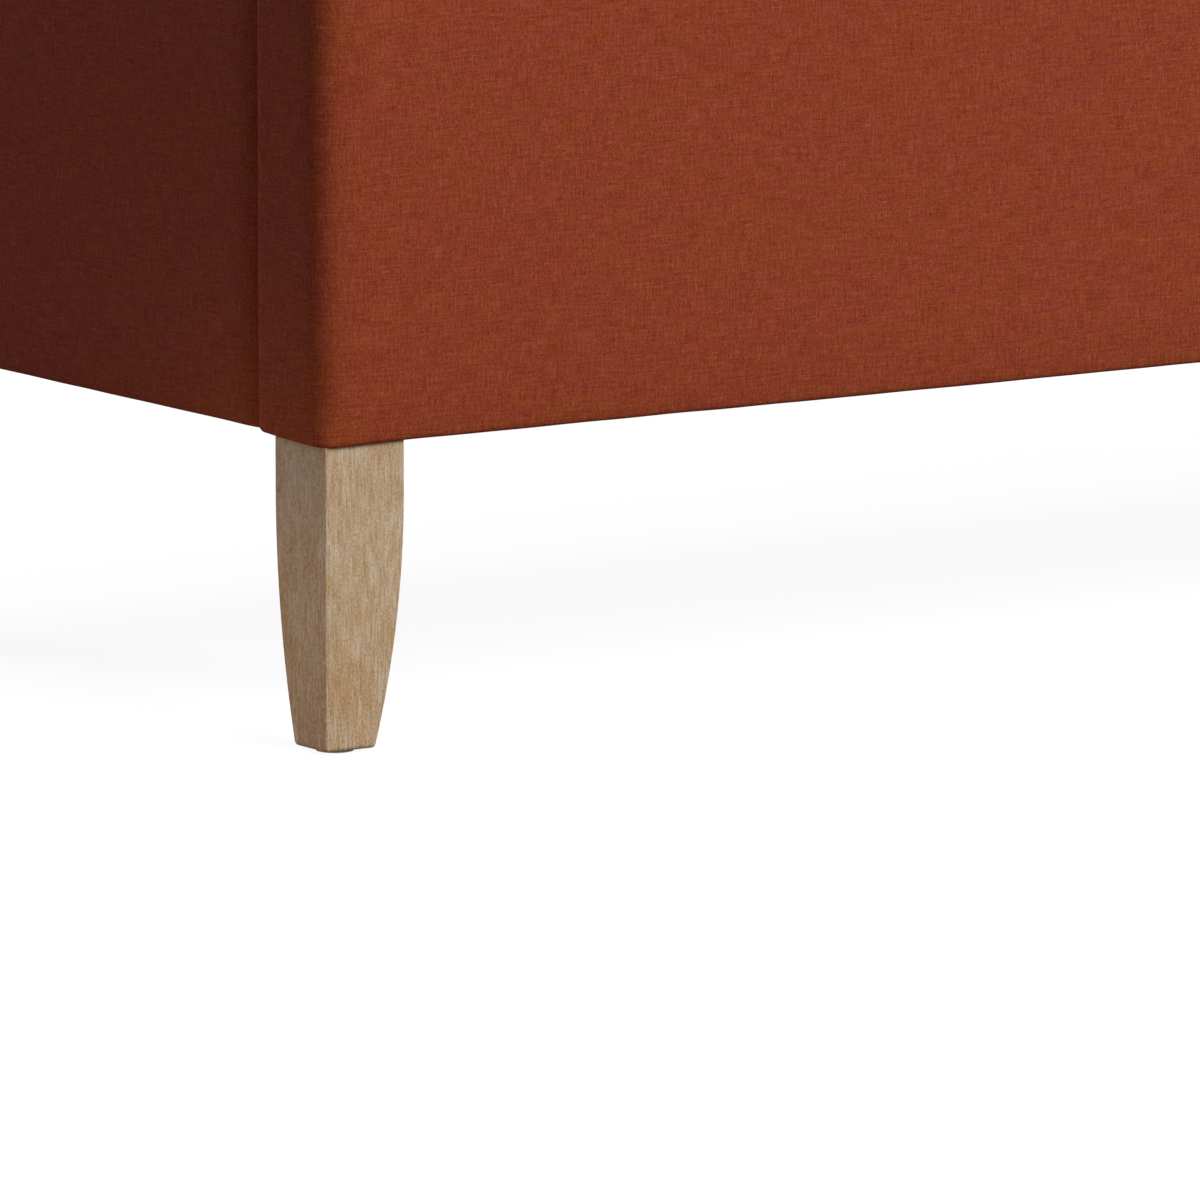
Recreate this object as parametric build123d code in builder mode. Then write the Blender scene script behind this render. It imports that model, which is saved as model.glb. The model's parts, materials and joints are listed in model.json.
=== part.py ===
from build123d import *
from math import asin, cos, degrees, radians, sin, sqrt
import os

# Ottoman with storage: an upholstered box on four tapered legs, closed by a padded lid that
# swings up on three butt hinges at the back and is guided by a slotted stay at each end.
# Millimetres. The origin is on the floor, under the middle of the box. +X is the length, to the
# right; -Y is the front; +Z is up.

# ---------------------------------------------------------------- driving dimensions
LENGTH = 1100.0
DEPTH = 480.0
LEG_HEIGHT = 150.0
BODY_HEIGHT = 226.0
LID_GAP = 4.0
LID_HEIGHT = 80.0

COVER = 1.0  # thickness of every cloth skin
CORNER_RADIUS = 14.5  # upright edges of the padded outline
EDGE_RADIUS = 5.0  # long padded edges

# Front and back panels, from the outside in: cover, foam, facing board, frame, lining.
LONG_FOAM_FACE = 9.0
LONG_FOAM_END = 5.0
LONG_FOAM_EDGE = 3.0
FACING = 3.0
LONG_FRAME = 42.0

# End panels, set back a little between the front and back panels.
END_RECESS = 3.0
END_LOWER_EDGE = 1.0
END_FOAM_FACE = 6.0
END_FOAM_EDGE = 3.0
END_FRAME = 34.0

RAIL_HEIGHT = 44.0
UPRIGHT_WIDTH = 44.0
MID_UPRIGHTS = (-250.0, 0.0, 250.0)
WINDOW_MARGIN = 12.0  # width of the cover that turns in around each lining

# Base of the storage compartment.
BATTEN = 20.0
BASE_BOARD = 9.0
BASE_CLEARANCE = 1.0
DUST_COVER_OVERLAP = 40.0
DUST_COVER_SIDE_OVERLAP = 28.0
LEG_CLEARANCE = 2.0

# Legs.
LEG_TOP = 45.0
LEG_FOOT = 27.6
LEG_STRAIGHT = 25.0  # length below the box where the leg stays square
LEG_INSET = 4.0
LEG_EDGE_RADIUS = 1.0
FOOT_EDGE_RADIUS = 2.2
GLIDE_RADIUS = 9.0
GLIDE_THICKNESS = 1.5
GLIDE_SPIKE_RADIUS = 1.25
GLIDE_SPIKE = 12.0
BOLT_RADIUS = 4.0
BOLT_IN_LEG = 40.0
BOLT_IN_RAIL = 22.0
INSERT_RADIUS = 6.0
INSERT_LENGTH = 20.0
FIT = 0.05  # radial clearance of a bolt, pin or screw in its hole

# Screws, all with 90 degree countersunk heads.
SCREW_RADIUS = 1.75
SCREW_HEAD_RADIUS = 3.4
SCREW_LENGTH = 16.0
SCREW_HEAD_ANGLE = 90.0
HEAD_CLEARANCE = 0.1
RECESS_LENGTH = 4.2  # cross recess in each screw head
RECESS_WIDTH = 0.9
RECESS_DEPTH = 1.3

# Steel corner brackets inside the compartment.
BRACKET_LEG = 40.0
BRACKET_THICKNESS = 2.5
BRACKET_HEIGHT = 30.0
BRACKET_CENTRES = (215.0, 305.0)
BRACKET_SCREWS = ((12.0, 7.0), (28.0, -7.0))  # distance from the corner, height from the centre

# Butt hinges.
HINGE_CENTRES = {"left": -400.0, "centre": 0.0, "right": 400.0}
HINGE_LENGTH = 70.0
HINGE_LEAF = 1.8
HINGE_LEAF_WIDTH = 40.0
KNUCKLES = 5
KNUCKLE_GAP = 0.3
BARREL_RADIUS = 4.0
HINGE_PIN_RADIUS = 2.0
AXIS_BEHIND_BACK = 5.5
LEAF_TO_BARREL = 0.7
HINGE_SCREW_X = 25.0
HINGE_SCREW_ROWS = (7.0, 19.0)

# Lid.
LID_BOARD = 15.0
LID_BOARD_INSET = 6.0
LID_LIP = 26.0  # width of the cover turned under the board
LID_TOP_RADIUS = 14.0

# Lid stays: the pivot on the lid and the stud on the box are equally far from the hinge axis,
# so the arm turns by half of the lid's angle and its slot always runs over the stud.
LID_OPEN_ANGLE = 85.0
STAY_REACH = 112.0
STAY_DROP = 12.0  # pivot below the hinge axis, lid closed
STAY_START_ANGLE = 8.0  # angle at the hinge axis between pivot and stud, lid closed
STAY_PLANE = 495.0  # distance of the arm's middle from the middle of the box
STAY_THICKNESS = 3.0
STAY_WIDTH = 16.0
STAY_TIP = 9.0
STUD_RADIUS = 3.0
SLOT_CLEARANCE = 0.3
STAY_PLATE = 2.0
STUD_HEAD_RADIUS = 5.0
STUD_SHOULDER_RADIUS = 5.0
SIDE_GAP = 0.5  # clearance beside the arm
BODY_PLATE_WIDTH = 60.0
BODY_PLATE_HEIGHT = 24.0
BODY_PLATE_SCREWS = 22.0
LID_PLATE_LENGTH = 56.0
LID_PLATE_WIDTH = 22.0
LID_PLATE_SCREWS = 18.0

# Rubber bumpers on the front panel's top edge.
BUMPER_RADIUS = 6.0
BUMPER_HEIGHT = 3.7
BUMPER_X = 480.0

# ---------------------------------------------------------------- worked out from the above
BODY_BOTTOM = LEG_HEIGHT
BODY_TOP = BODY_BOTTOM + BODY_HEIGHT
LID_BOTTOM = BODY_TOP + LID_GAP
HALF_LENGTH = LENGTH / 2
HALF_DEPTH = DEPTH / 2

LONG_PANEL = COVER + LONG_FOAM_FACE + FACING + LONG_FRAME + COVER
LONG_INNER = HALF_DEPTH - LONG_PANEL
LONG_FRAME_INNER = LONG_INNER + COVER
LONG_FRAME_OUTER = LONG_FRAME_INNER + LONG_FRAME
LONG_FRAME_HALF = HALF_LENGTH - COVER - LONG_FOAM_END
LONG_FRAME_BOTTOM = BODY_BOTTOM + COVER + LONG_FOAM_EDGE
LONG_FRAME_TOP = BODY_TOP - COVER - LONG_FOAM_EDGE

END_PANEL = COVER + END_FOAM_FACE + FACING + END_FRAME + COVER
END_OUTER = HALF_LENGTH - END_RECESS
END_INNER = END_OUTER - END_PANEL
END_FRAME_INNER = END_INNER + COVER
END_FRAME_OUTER = END_FRAME_INNER + END_FRAME
END_HALF = LONG_INNER
END_FRAME_HALF = END_HALF - COVER
END_BOTTOM = BODY_BOTTOM + END_LOWER_EDGE
END_TOP = BODY_TOP - END_LOWER_EDGE
END_FRAME_BOTTOM = END_BOTTOM + COVER + END_FOAM_EDGE
END_FRAME_TOP = END_TOP - COVER - END_FOAM_EDGE

BASE_BOARD_BOTTOM = BODY_BOTTOM + COVER + BATTEN
BASE_BOARD_TOP = BASE_BOARD_BOTTOM + BASE_BOARD

LEG_OUTER_X = HALF_LENGTH - LEG_INSET
LEG_OUTER_Y = HALF_DEPTH - LEG_INSET
LEG_CENTRE_X = LEG_OUTER_X - LEG_TOP / 2
LEG_CENTRE_Y = LEG_OUTER_Y - LEG_TOP / 2
FOOT_CENTRE_X = LEG_OUTER_X - LEG_FOOT / 2
FOOT_CENTRE_Y = LEG_OUTER_Y - LEG_FOOT / 2
CORNERS = ((-1, -1), (1, -1), (-1, 1), (1, 1))

HINGE_Y = HALF_DEPTH + AXIS_BEHIND_BACK
HINGE_Z = BODY_TOP + LID_GAP / 2
LEAF_END_Y = HINGE_Y - BARREL_RADIUS - LEAF_TO_BARREL
LEAF_START_Y = LEAF_END_Y - HINGE_LEAF_WIDTH
KNUCKLE_PITCH = HINGE_LENGTH / KNUCKLES

LID_BOARD_BOTTOM = LID_BOTTOM + COVER
LID_BOARD_TOP = LID_BOARD_BOTTOM + LID_BOARD
SCREW_HEAD_HEIGHT = SCREW_HEAD_RADIUS - SCREW_RADIUS

SIDES = {"left": -1, "right": 1}
LONG_SIDES = {"front": -1, "back": 1}


# ---------------------------------------------------------------- shared helpers
def save(piece, label):
    """Name a finished piece and write it."""
    piece.part.label = label
    export_step(piece.part, f"parts/{label}.step")


def outward(side, near, far):
    """The span between two distances from the middle, on the given side."""
    return tuple(sorted((side * near, side * far)))


def block(x_span, y_span, z_span, mode=Mode.ADD):
    """A rectangular block that fills three spans, in the open part."""
    spans = (x_span, y_span, z_span)
    with Locations(tuple((low + high) / 2 for low, high in spans)):
        Box(*(high - low for low, high in spans), mode=mode)


def drill(axes, radius, depth):
    """Round holes in the open part, from each axis plane downwards."""
    with Locations(*axes):
        Hole(radius, depth)


def countersink(axes, depth):
    """Countersunk screw holes in the open part."""
    with Locations(*axes):
        CounterSinkHole(
            SCREW_RADIUS + FIT, SCREW_HEAD_RADIUS + HEAD_CLEARANCE, depth, SCREW_HEAD_ANGLE
        )


def facing(x, y, z, direction):
    """An axis plane at a point, looking the way the screw head or the mouth of the hole faces."""
    return Plane(origin=(x, y, z), z_dir=direction)


# ---------------------------------------------------------------- fastener places
def bracket_screw_axes(end_sides=(-1, 1), long_sides=(-1, 1), legs=("end", "long")):
    """Axes of the corner bracket screws, at the brackets' inner faces."""
    axes = []
    for end in end_sides:
        for long in long_sides:
            for centre in BRACKET_CENTRES:
                for along, up in BRACKET_SCREWS:
                    end_x = end * (END_INNER - BRACKET_THICKNESS)
                    long_y = long * (LONG_INNER - BRACKET_THICKNESS)
                    if "end" in legs:
                        y = long * (LONG_INNER - along)
                        axes.append(facing(end_x, y, centre + up, (-end, 0, 0)))
                    if "long" in legs:
                        x = end * (END_INNER - along)
                        axes.append(facing(x, long_y, centre + up, (0, -long, 0)))
    return axes


def hinge_screw_axes(height, direction):
    """Axes of the hinge screws at one height, four to a leaf."""
    return [
        facing(centre + across, LEAF_START_Y + row, height, (0, 0, direction))
        for centre in HINGE_CENTRES.values()
        for across in (-HINGE_SCREW_X, HINGE_SCREW_X)
        for row in HINGE_SCREW_ROWS
    ]


def stay_point(distance, angle):
    """A point at a distance from the hinge axis, at an angle below the forward horizontal."""
    return (
        HINGE_Y - distance * cos(radians(angle)),
        HINGE_Z - distance * sin(radians(angle)),
    )


PIVOT_ANGLE = degrees(asin(STAY_DROP / STAY_REACH))
PIVOT_Y, PIVOT_Z = stay_point(STAY_REACH, PIVOT_ANGLE)
STUD_Y, STUD_Z = stay_point(STAY_REACH, PIVOT_ANGLE + STAY_START_ANGLE)
STAY_SLANT = PIVOT_ANGLE + STAY_START_ANGLE / 2
SLOT_START = 2 * STAY_REACH * sin(radians(STAY_START_ANGLE / 2))
SLOT_END = 2 * STAY_REACH * sin(radians((STAY_START_ANGLE + LID_OPEN_ANGLE) / 2))


def stay_body_screw_axes(side):
    """Axes of the screws of the stud plate on one end panel."""
    x = side * (END_INNER - STAY_PLATE)
    return [
        facing(x, STUD_Y + along, STUD_Z, (-side, 0, 0))
        for along in (-BODY_PLATE_SCREWS, BODY_PLATE_SCREWS)
    ]


def stay_lid_screw_axes(side):
    """Axes of the screws of the pivot plate under the lid."""
    x = side * (STAY_PLANE - LID_PLATE_WIDTH / 2 - STAY_THICKNESS)
    return [
        facing(x, PIVOT_Y + along, LID_BOTTOM - STAY_PLATE, (0, 0, -1))
        for along in (-LID_PLATE_SCREWS, LID_PLATE_SCREWS)
    ]


def leg_axes(height, x=LEG_CENTRE_X, y=LEG_CENTRE_Y, direction=-1):
    """Upright axes of the four legs' fittings."""
    return [facing(sx * x, sy * y, height, (0, 0, direction)) for sx, sy in CORNERS]


# ---------------------------------------------------------------- front and back panels
def long_panel_form(side, inset):
    """Padded outline of the front or back panel, with every face moved in by the inset."""
    with BuildPart() as form:
        with BuildSketch(Plane.XY.offset(BODY_BOTTOM + inset)) as plan:
            with Locations((0, side * (LONG_INNER + LONG_PANEL / 2))):
                Rectangle(LENGTH - 2 * inset, LONG_PANEL - 2 * inset)
            outer_corners = plan.vertices().group_by(Axis.Y)[0 if side < 0 else -1]
            fillet(outer_corners, CORNER_RADIUS - inset)
        extrude(amount=BODY_HEIGHT - 2 * inset)
        inner_face = form.faces().sort_by(Axis.Y)[-1 if side < 0 else 0]
        rims = form.faces().filter_by(Axis.Z).edges()
        padded_rims = [edge for edge in rims if edge not in inner_face.edges()]
        fillet(padded_rims, EDGE_RADIUS - inset)
    return form.part


def window(side, outer, inner, half_length, bottom, top):
    """The opening in a front or back panel's cover where the lining is."""
    block(
        (-half_length, half_length), outward(side, inner, outer), (bottom, top), Mode.SUBTRACT
    )


def make_long_cover(name, side):
    """Cloth cover of the front or back panel, turned in round the lining."""
    outside = long_panel_form(side, 0)
    inside = long_panel_form(side, COVER)
    with BuildPart() as cover:
        add(outside)
        add(inside, mode=Mode.SUBTRACT)
        window(
            side,
            LONG_FRAME_INNER,
            LONG_INNER,
            LONG_FRAME_HALF - WINDOW_MARGIN,
            LONG_FRAME_BOTTOM + WINDOW_MARGIN,
            LONG_FRAME_TOP - WINDOW_MARGIN,
        )
        drill(leg_axes(BODY_BOTTOM), BOLT_RADIUS + FIT, COVER)
        drill(hinge_screw_axes(BODY_TOP, 1), SCREW_RADIUS + FIT, COVER)
    save(cover, f"{name}_cover")


def make_long_lining(name, side):
    """Lining cloth on the inner face of the front or back panel."""
    with BuildPart() as lining:
        block(
            outward(1, WINDOW_MARGIN - LONG_FRAME_HALF, LONG_FRAME_HALF - WINDOW_MARGIN),
            outward(side, LONG_INNER, LONG_FRAME_INNER),
            (LONG_FRAME_BOTTOM + WINDOW_MARGIN, LONG_FRAME_TOP - WINDOW_MARGIN),
        )
        drill(bracket_screw_axes(long_sides=(side,), legs=("long",)), SCREW_RADIUS + FIT, BRACKET_LEG)
    save(lining, f"{name}_lining")


def make_long_foam(name, side):
    """Foam and wadding round the front or back frame, open towards the compartment."""
    padding = long_panel_form(side, COVER)
    with BuildPart() as foam:
        add(padding)
        block(
            (-LONG_FRAME_HALF, LONG_FRAME_HALF),
            outward(side, LONG_FRAME_INNER, LONG_FRAME_OUTER + FACING),
            (LONG_FRAME_BOTTOM, LONG_FRAME_TOP),
            Mode.SUBTRACT,
        )
        drill(leg_axes(BODY_BOTTOM), BOLT_RADIUS + FIT, LONG_FOAM_EDGE + COVER)
        drill(hinge_screw_axes(BODY_TOP, 1), SCREW_RADIUS + FIT, LONG_FOAM_EDGE + COVER)
    save(foam, f"{name}_foam")


def make_long_facing(name, side):
    """Hardboard facing over the outside of the front or back frame."""
    with BuildPart() as board:
        block(
            (-LONG_FRAME_HALF, LONG_FRAME_HALF),
            outward(side, LONG_FRAME_OUTER, LONG_FRAME_OUTER + FACING),
            (LONG_FRAME_BOTTOM, LONG_FRAME_TOP),
        )
    save(board, f"{name}_facing_board")


def make_long_rails(name, side):
    """Bottom and top rails of the front or back frame, drilled for leg inserts and hinges."""
    with BuildPart() as rails:
        for bottom in (LONG_FRAME_BOTTOM, LONG_FRAME_TOP - RAIL_HEIGHT):
            block(
                (-LONG_FRAME_HALF, LONG_FRAME_HALF),
                outward(side, LONG_FRAME_INNER, LONG_FRAME_OUTER),
                (bottom, bottom + RAIL_HEIGHT),
            )
        drill(leg_axes(LONG_FRAME_BOTTOM), INSERT_RADIUS, INSERT_LENGTH)
        drill(hinge_screw_axes(BODY_TOP, 1), SCREW_RADIUS + FIT, SCREW_LENGTH)
        drill(bracket_screw_axes(), SCREW_RADIUS + FIT, SCREW_LENGTH)
    save(rails, f"{name}_rails")


def make_long_uprights(name, side):
    """End posts and middle posts between the rails of the front or back frame."""
    low = LONG_FRAME_BOTTOM + RAIL_HEIGHT
    high = LONG_FRAME_TOP - RAIL_HEIGHT
    depth = outward(side, LONG_FRAME_INNER, LONG_FRAME_OUTER)
    with BuildPart() as uprights:
        for end in (-1, 1):
            near = LONG_FRAME_HALF - 2 * UPRIGHT_WIDTH
            block(outward(end, near, LONG_FRAME_HALF), depth, (low, high))
        for centre in MID_UPRIGHTS:
            half = UPRIGHT_WIDTH / 2
            block((centre - half, centre + half), depth, (low, high))
        drill(bracket_screw_axes(legs=("long",)), SCREW_RADIUS + FIT, SCREW_LENGTH)
    save(uprights, f"{name}_uprights")


# ---------------------------------------------------------------- left and right panels
def end_panel_form(side, inset):
    """Padded outline of an end panel, with every face moved in by the inset."""
    with BuildPart() as form:
        block(
            outward(side, END_INNER + inset, END_OUTER - inset),
            (inset - END_HALF, END_HALF - inset),
            (END_BOTTOM + inset, END_TOP - inset),
        )
        outer_face = form.faces().sort_by(Axis.X)[0 if side < 0 else -1]
        fillet(outer_face.edges().filter_by(Axis.Y), EDGE_RADIUS - inset)
    return form.part


def make_end_cover(name, side):
    """Cloth cover of an end panel, turned in round the lining."""
    outside = end_panel_form(side, 0)
    inside = end_panel_form(side, COVER)
    with BuildPart() as cover:
        add(outside)
        add(inside, mode=Mode.SUBTRACT)
        half = END_FRAME_HALF - WINDOW_MARGIN
        block(
            outward(side, END_INNER, END_FRAME_INNER),
            (-half, half),
            (END_FRAME_BOTTOM + WINDOW_MARGIN, END_FRAME_TOP - WINDOW_MARGIN),
            Mode.SUBTRACT,
        )
        end_holes(side)
    save(cover, f"{name}_cover")


def end_holes(side):
    """Screw holes through an end panel's inner face."""
    drill(bracket_screw_axes(end_sides=(side,), legs=("end",)), SCREW_RADIUS + FIT, SCREW_LENGTH)
    drill(stay_body_screw_axes(side), SCREW_RADIUS + FIT, SCREW_LENGTH)


def make_end_lining(name, side):
    """Lining cloth on the inner face of an end panel."""
    half = END_FRAME_HALF - WINDOW_MARGIN
    with BuildPart() as lining:
        block(
            outward(side, END_INNER, END_FRAME_INNER),
            (-half, half),
            (END_FRAME_BOTTOM + WINDOW_MARGIN, END_FRAME_TOP - WINDOW_MARGIN),
        )
        end_holes(side)
    save(lining, f"{name}_lining")


def make_end_foam(name, side):
    """Foam and wadding round an end frame, open towards the compartment."""
    padding = end_panel_form(side, COVER)
    with BuildPart() as foam:
        add(padding)
        block(
            outward(side, END_FRAME_INNER, END_FRAME_OUTER + FACING),
            (-END_FRAME_HALF, END_FRAME_HALF),
            (END_FRAME_BOTTOM, END_FRAME_TOP),
            Mode.SUBTRACT,
        )
    save(foam, f"{name}_foam")


def make_end_facing(name, side):
    """Hardboard facing over the outside of an end frame."""
    with BuildPart() as board:
        block(
            outward(side, END_FRAME_OUTER, END_FRAME_OUTER + FACING),
            (-END_FRAME_HALF, END_FRAME_HALF),
            (END_FRAME_BOTTOM, END_FRAME_TOP),
        )
    save(board, f"{name}_facing_board")


def make_end_rails(name, side):
    """Bottom and top rails of an end frame."""
    with BuildPart() as rails:
        for bottom in (END_FRAME_BOTTOM, END_FRAME_TOP - RAIL_HEIGHT):
            block(
                outward(side, END_FRAME_INNER, END_FRAME_OUTER),
                (-END_FRAME_HALF, END_FRAME_HALF),
                (bottom, bottom + RAIL_HEIGHT),
            )
        end_holes(side)
    save(rails, f"{name}_rails")


def make_end_uprights(name, side):
    """Posts between the rails of an end frame."""
    low = END_FRAME_BOTTOM + RAIL_HEIGHT
    high = END_FRAME_TOP - RAIL_HEIGHT
    depth = outward(side, END_FRAME_INNER, END_FRAME_OUTER)
    with BuildPart() as uprights:
        for end in (-1, 1):
            y_span = outward(end, END_FRAME_HALF - UPRIGHT_WIDTH, END_FRAME_HALF)
            block(depth, y_span, (low, high))
        half = UPRIGHT_WIDTH / 2
        block(depth, (-half, half), (low, high))
        end_holes(side)
    save(uprights, f"{name}_uprights")


# ---------------------------------------------------------------- base
def make_base_battens():
    """Four battens round the inside of the panels, which the base board lies on."""
    z_span = (BODY_BOTTOM + COVER, BASE_BOARD_BOTTOM)
    with BuildPart() as battens:
        for side in (-1, 1):
            block((-END_INNER, END_INNER), outward(side, LONG_INNER - BATTEN, LONG_INNER), z_span)
            half = LONG_INNER - BATTEN
            block(outward(side, END_INNER - BATTEN, END_INNER), (-half, half), z_span)
    save(battens, "base_battens")


def make_base_sheet(name, bottom, top):
    """A sheet that covers the compartment's floor."""
    half_x = END_INNER - BASE_CLEARANCE
    half_y = LONG_INNER - BASE_CLEARANCE
    with BuildPart() as sheet:
        block((-half_x, half_x), (-half_y, half_y), (bottom, top))
    save(sheet, name)


def make_dust_cover():
    """Cloth under the box, overlapping the panels and notched round the legs."""
    with BuildPart() as dust_cover:
        with BuildSketch(Plane.XY.offset(BODY_BOTTOM - COVER)):
            Rectangle(
                2 * (LEG_OUTER_X - LEG_TOP - LEG_CLEARANCE), 2 * (LONG_INNER + DUST_COVER_OVERLAP)
            )
            Rectangle(
                2 * (END_INNER + DUST_COVER_SIDE_OVERLAP),
                2 * (LEG_OUTER_Y - LEG_TOP - LEG_CLEARANCE),
            )
        extrude(amount=COVER)
    save(dust_cover, "dust_cover")


# ---------------------------------------------------------------- legs and their fittings
def taper_profile():
    """Half-open leg outline: outer face upright, inner face an arc that leaves it at the foot."""
    drop = LEG_HEIGHT - LEG_STRAIGHT
    narrowing = LEG_TOP - LEG_FOOT
    radius = (drop**2 + narrowing**2) / (2 * narrowing)
    middle = drop / 2
    middle_inset = radius - sqrt(radius**2 - middle**2)
    with BuildLine() as outline:
        Polyline((LEG_FOOT, 0), (0, 0), (0, LEG_HEIGHT), (LEG_TOP, LEG_HEIGHT), (LEG_TOP, drop))
        ThreePointArc((LEG_TOP, drop), (LEG_TOP - middle_inset, middle), (LEG_FOOT, 0))
    return outline.line


def make_leg(name, side_x, side_y):
    """A tapered leg under one corner, with its outer faces upright."""
    corner_x = side_x * LEG_OUTER_X
    corner_y = side_y * LEG_OUTER_Y
    outline = taper_profile()
    front_view = Plane(origin=(corner_x, corner_y, 0), x_dir=(-side_x, 0, 0), z_dir=(0, side_x, 0))
    side_view = Plane(origin=(corner_x, corner_y, 0), x_dir=(0, -side_y, 0), z_dir=(-side_y, 0, 0))
    with BuildPart() as leg:
        with BuildSketch(front_view) as front_face:
            with BuildLine():
                add(outline)
            make_face()
        extrude(front_face.sketch, amount=LEG_TOP, both=True)
        with BuildSketch(side_view) as side_face:
            with BuildLine():
                add(outline)
            make_face()
        extrude(side_face.sketch, amount=LEG_TOP, both=True, mode=Mode.INTERSECT)
        block(
            outward(side_x, 0, HALF_LENGTH),
            outward(side_y, 0, HALF_DEPTH),
            (0, GLIDE_THICKNESS),
            Mode.SUBTRACT,
        )
        fillet(leg.faces().sort_by(Axis.Z)[0].edges(), FOOT_EDGE_RADIUS)
        fillet(leg.edges().filter_by(Axis.Z), LEG_EDGE_RADIUS)
        drill(leg_axes(LEG_HEIGHT, direction=1), BOLT_RADIUS + FIT, BOLT_IN_LEG)
        foot_axes = leg_axes(GLIDE_THICKNESS, FOOT_CENTRE_X, FOOT_CENTRE_Y)
        drill(foot_axes, GLIDE_SPIKE_RADIUS + FIT, GLIDE_SPIKE)
    save(leg, name)


def make_leg_bolts():
    """Hanger bolts from the legs into the inserts."""
    with BuildPart() as bolts:
        with Locations(*leg_axes(LEG_HEIGHT - BOLT_IN_LEG, direction=1)):
            Cylinder(
                BOLT_RADIUS,
                BOLT_IN_LEG + BOLT_IN_RAIL,
                align=(Align.CENTER, Align.CENTER, Align.MIN),
            )
        chamfer(bolts.edges().filter_by(GeomType.CIRCLE), BOLT_RADIUS / 5)
    save(bolts, "leg_bolts")


def make_leg_inserts():
    """Threaded inserts in the bottom rails."""
    with BuildPart() as inserts:
        with Locations(*leg_axes(LONG_FRAME_BOTTOM, direction=1)):
            Cylinder(INSERT_RADIUS, INSERT_LENGTH, align=(Align.CENTER, Align.CENTER, Align.MIN))
            Cylinder(
                BOLT_RADIUS + FIT,
                INSERT_LENGTH,
                align=(Align.CENTER, Align.CENTER, Align.MIN),
                mode=Mode.SUBTRACT,
            )
    save(inserts, "leg_inserts")


def make_leg_glides():
    """Nylon glides nailed into the feet; they carry the ottoman on the floor."""
    with BuildPart() as glides:
        with Locations(*leg_axes(0, FOOT_CENTRE_X, FOOT_CENTRE_Y, direction=1)):
            Cylinder(GLIDE_RADIUS, GLIDE_THICKNESS, align=(Align.CENTER, Align.CENTER, Align.MIN))
            Cylinder(
                GLIDE_SPIKE_RADIUS,
                GLIDE_THICKNESS + GLIDE_SPIKE,
                align=(Align.CENTER, Align.CENTER, Align.MIN),
            )
    save(glides, "leg_glides")


# ---------------------------------------------------------------- corner brackets and screws
def make_corner_brackets():
    """Angle brackets that tie the end panels to the front and back panels."""
    with BuildPart() as brackets:
        for end, long in CORNERS:
            for centre in BRACKET_CENTRES:
                z_span = (centre - BRACKET_HEIGHT / 2, centre + BRACKET_HEIGHT / 2)
                block(
                    outward(end, END_INNER - BRACKET_LEG, END_INNER),
                    outward(long, LONG_INNER - BRACKET_THICKNESS, LONG_INNER),
                    z_span,
                )
                block(
                    outward(end, END_INNER - BRACKET_THICKNESS, END_INNER),
                    outward(long, LONG_INNER - BRACKET_LEG, LONG_INNER),
                    z_span,
                )
        countersink(bracket_screw_axes(), BRACKET_THICKNESS)
    save(brackets, "corner_brackets")


def make_screws(name, axes):
    """Countersunk cross-head wood screws with their heads flush at the given axes."""
    with BuildPart() as screws:
        with Locations(*axes):
            Cylinder(SCREW_RADIUS, SCREW_LENGTH, align=(Align.CENTER, Align.CENTER, Align.MAX))
            Cone(
                SCREW_RADIUS,
                SCREW_HEAD_RADIUS,
                SCREW_HEAD_HEIGHT,
                align=(Align.CENTER, Align.CENTER, Align.MAX),
            )
            for arm in ((RECESS_LENGTH, RECESS_WIDTH), (RECESS_WIDTH, RECESS_LENGTH)):
                Box(
                    *arm,
                    RECESS_DEPTH,
                    align=(Align.CENTER, Align.CENTER, Align.MAX),
                    mode=Mode.SUBTRACT,
                )
    save(screws, name)


# ---------------------------------------------------------------- hinges
def knuckle_span(centre, index):
    """Length of one knuckle along X."""
    start = centre - HINGE_LENGTH / 2 + index * KNUCKLE_PITCH
    return (start + KNUCKLE_GAP / 2, start + KNUCKLE_PITCH - KNUCKLE_GAP / 2)


def make_hinge_leaf(name, centre, z_span, first_knuckle, screw_height, direction):
    """One leaf with every second knuckle rolled round the pin."""
    with BuildPart() as leaf:
        half = HINGE_LENGTH / 2
        block((centre - half, centre + half), (LEAF_START_Y, LEAF_END_Y), z_span)
        for index in range(first_knuckle, KNUCKLES, 2):
            start, end = knuckle_span(centre, index)
            block((start, end), (LEAF_END_Y, HINGE_Y), z_span)
            with BuildSketch(Plane.YZ.offset(start)) as ring:
                with Locations((HINGE_Y, HINGE_Z)):
                    Circle(BARREL_RADIUS)
            extrude(ring.sketch, amount=end - start)
        with BuildSketch(Plane.YZ.offset(centre - half)) as bore:
            with Locations((HINGE_Y, HINGE_Z)):
                Circle(HINGE_PIN_RADIUS + FIT)
        extrude(bore.sketch, amount=HINGE_LENGTH, mode=Mode.SUBTRACT)
        countersink(hinge_screw_axes(screw_height, direction), HINGE_LEAF)
    save(leaf, name)


def make_hinge_pins():
    """Hinge pins, fixed in the box leaves, with the lid knuckles turning on them."""
    with BuildPart() as pins:
        for centre in HINGE_CENTRES.values():
            with BuildSketch(Plane.YZ.offset(centre - HINGE_LENGTH / 2)) as section:
                with Locations((HINGE_Y, HINGE_Z)):
                    Circle(HINGE_PIN_RADIUS)
            extrude(section.sketch, amount=HINGE_LENGTH)
    save(pins, "hinge_pins")


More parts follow.
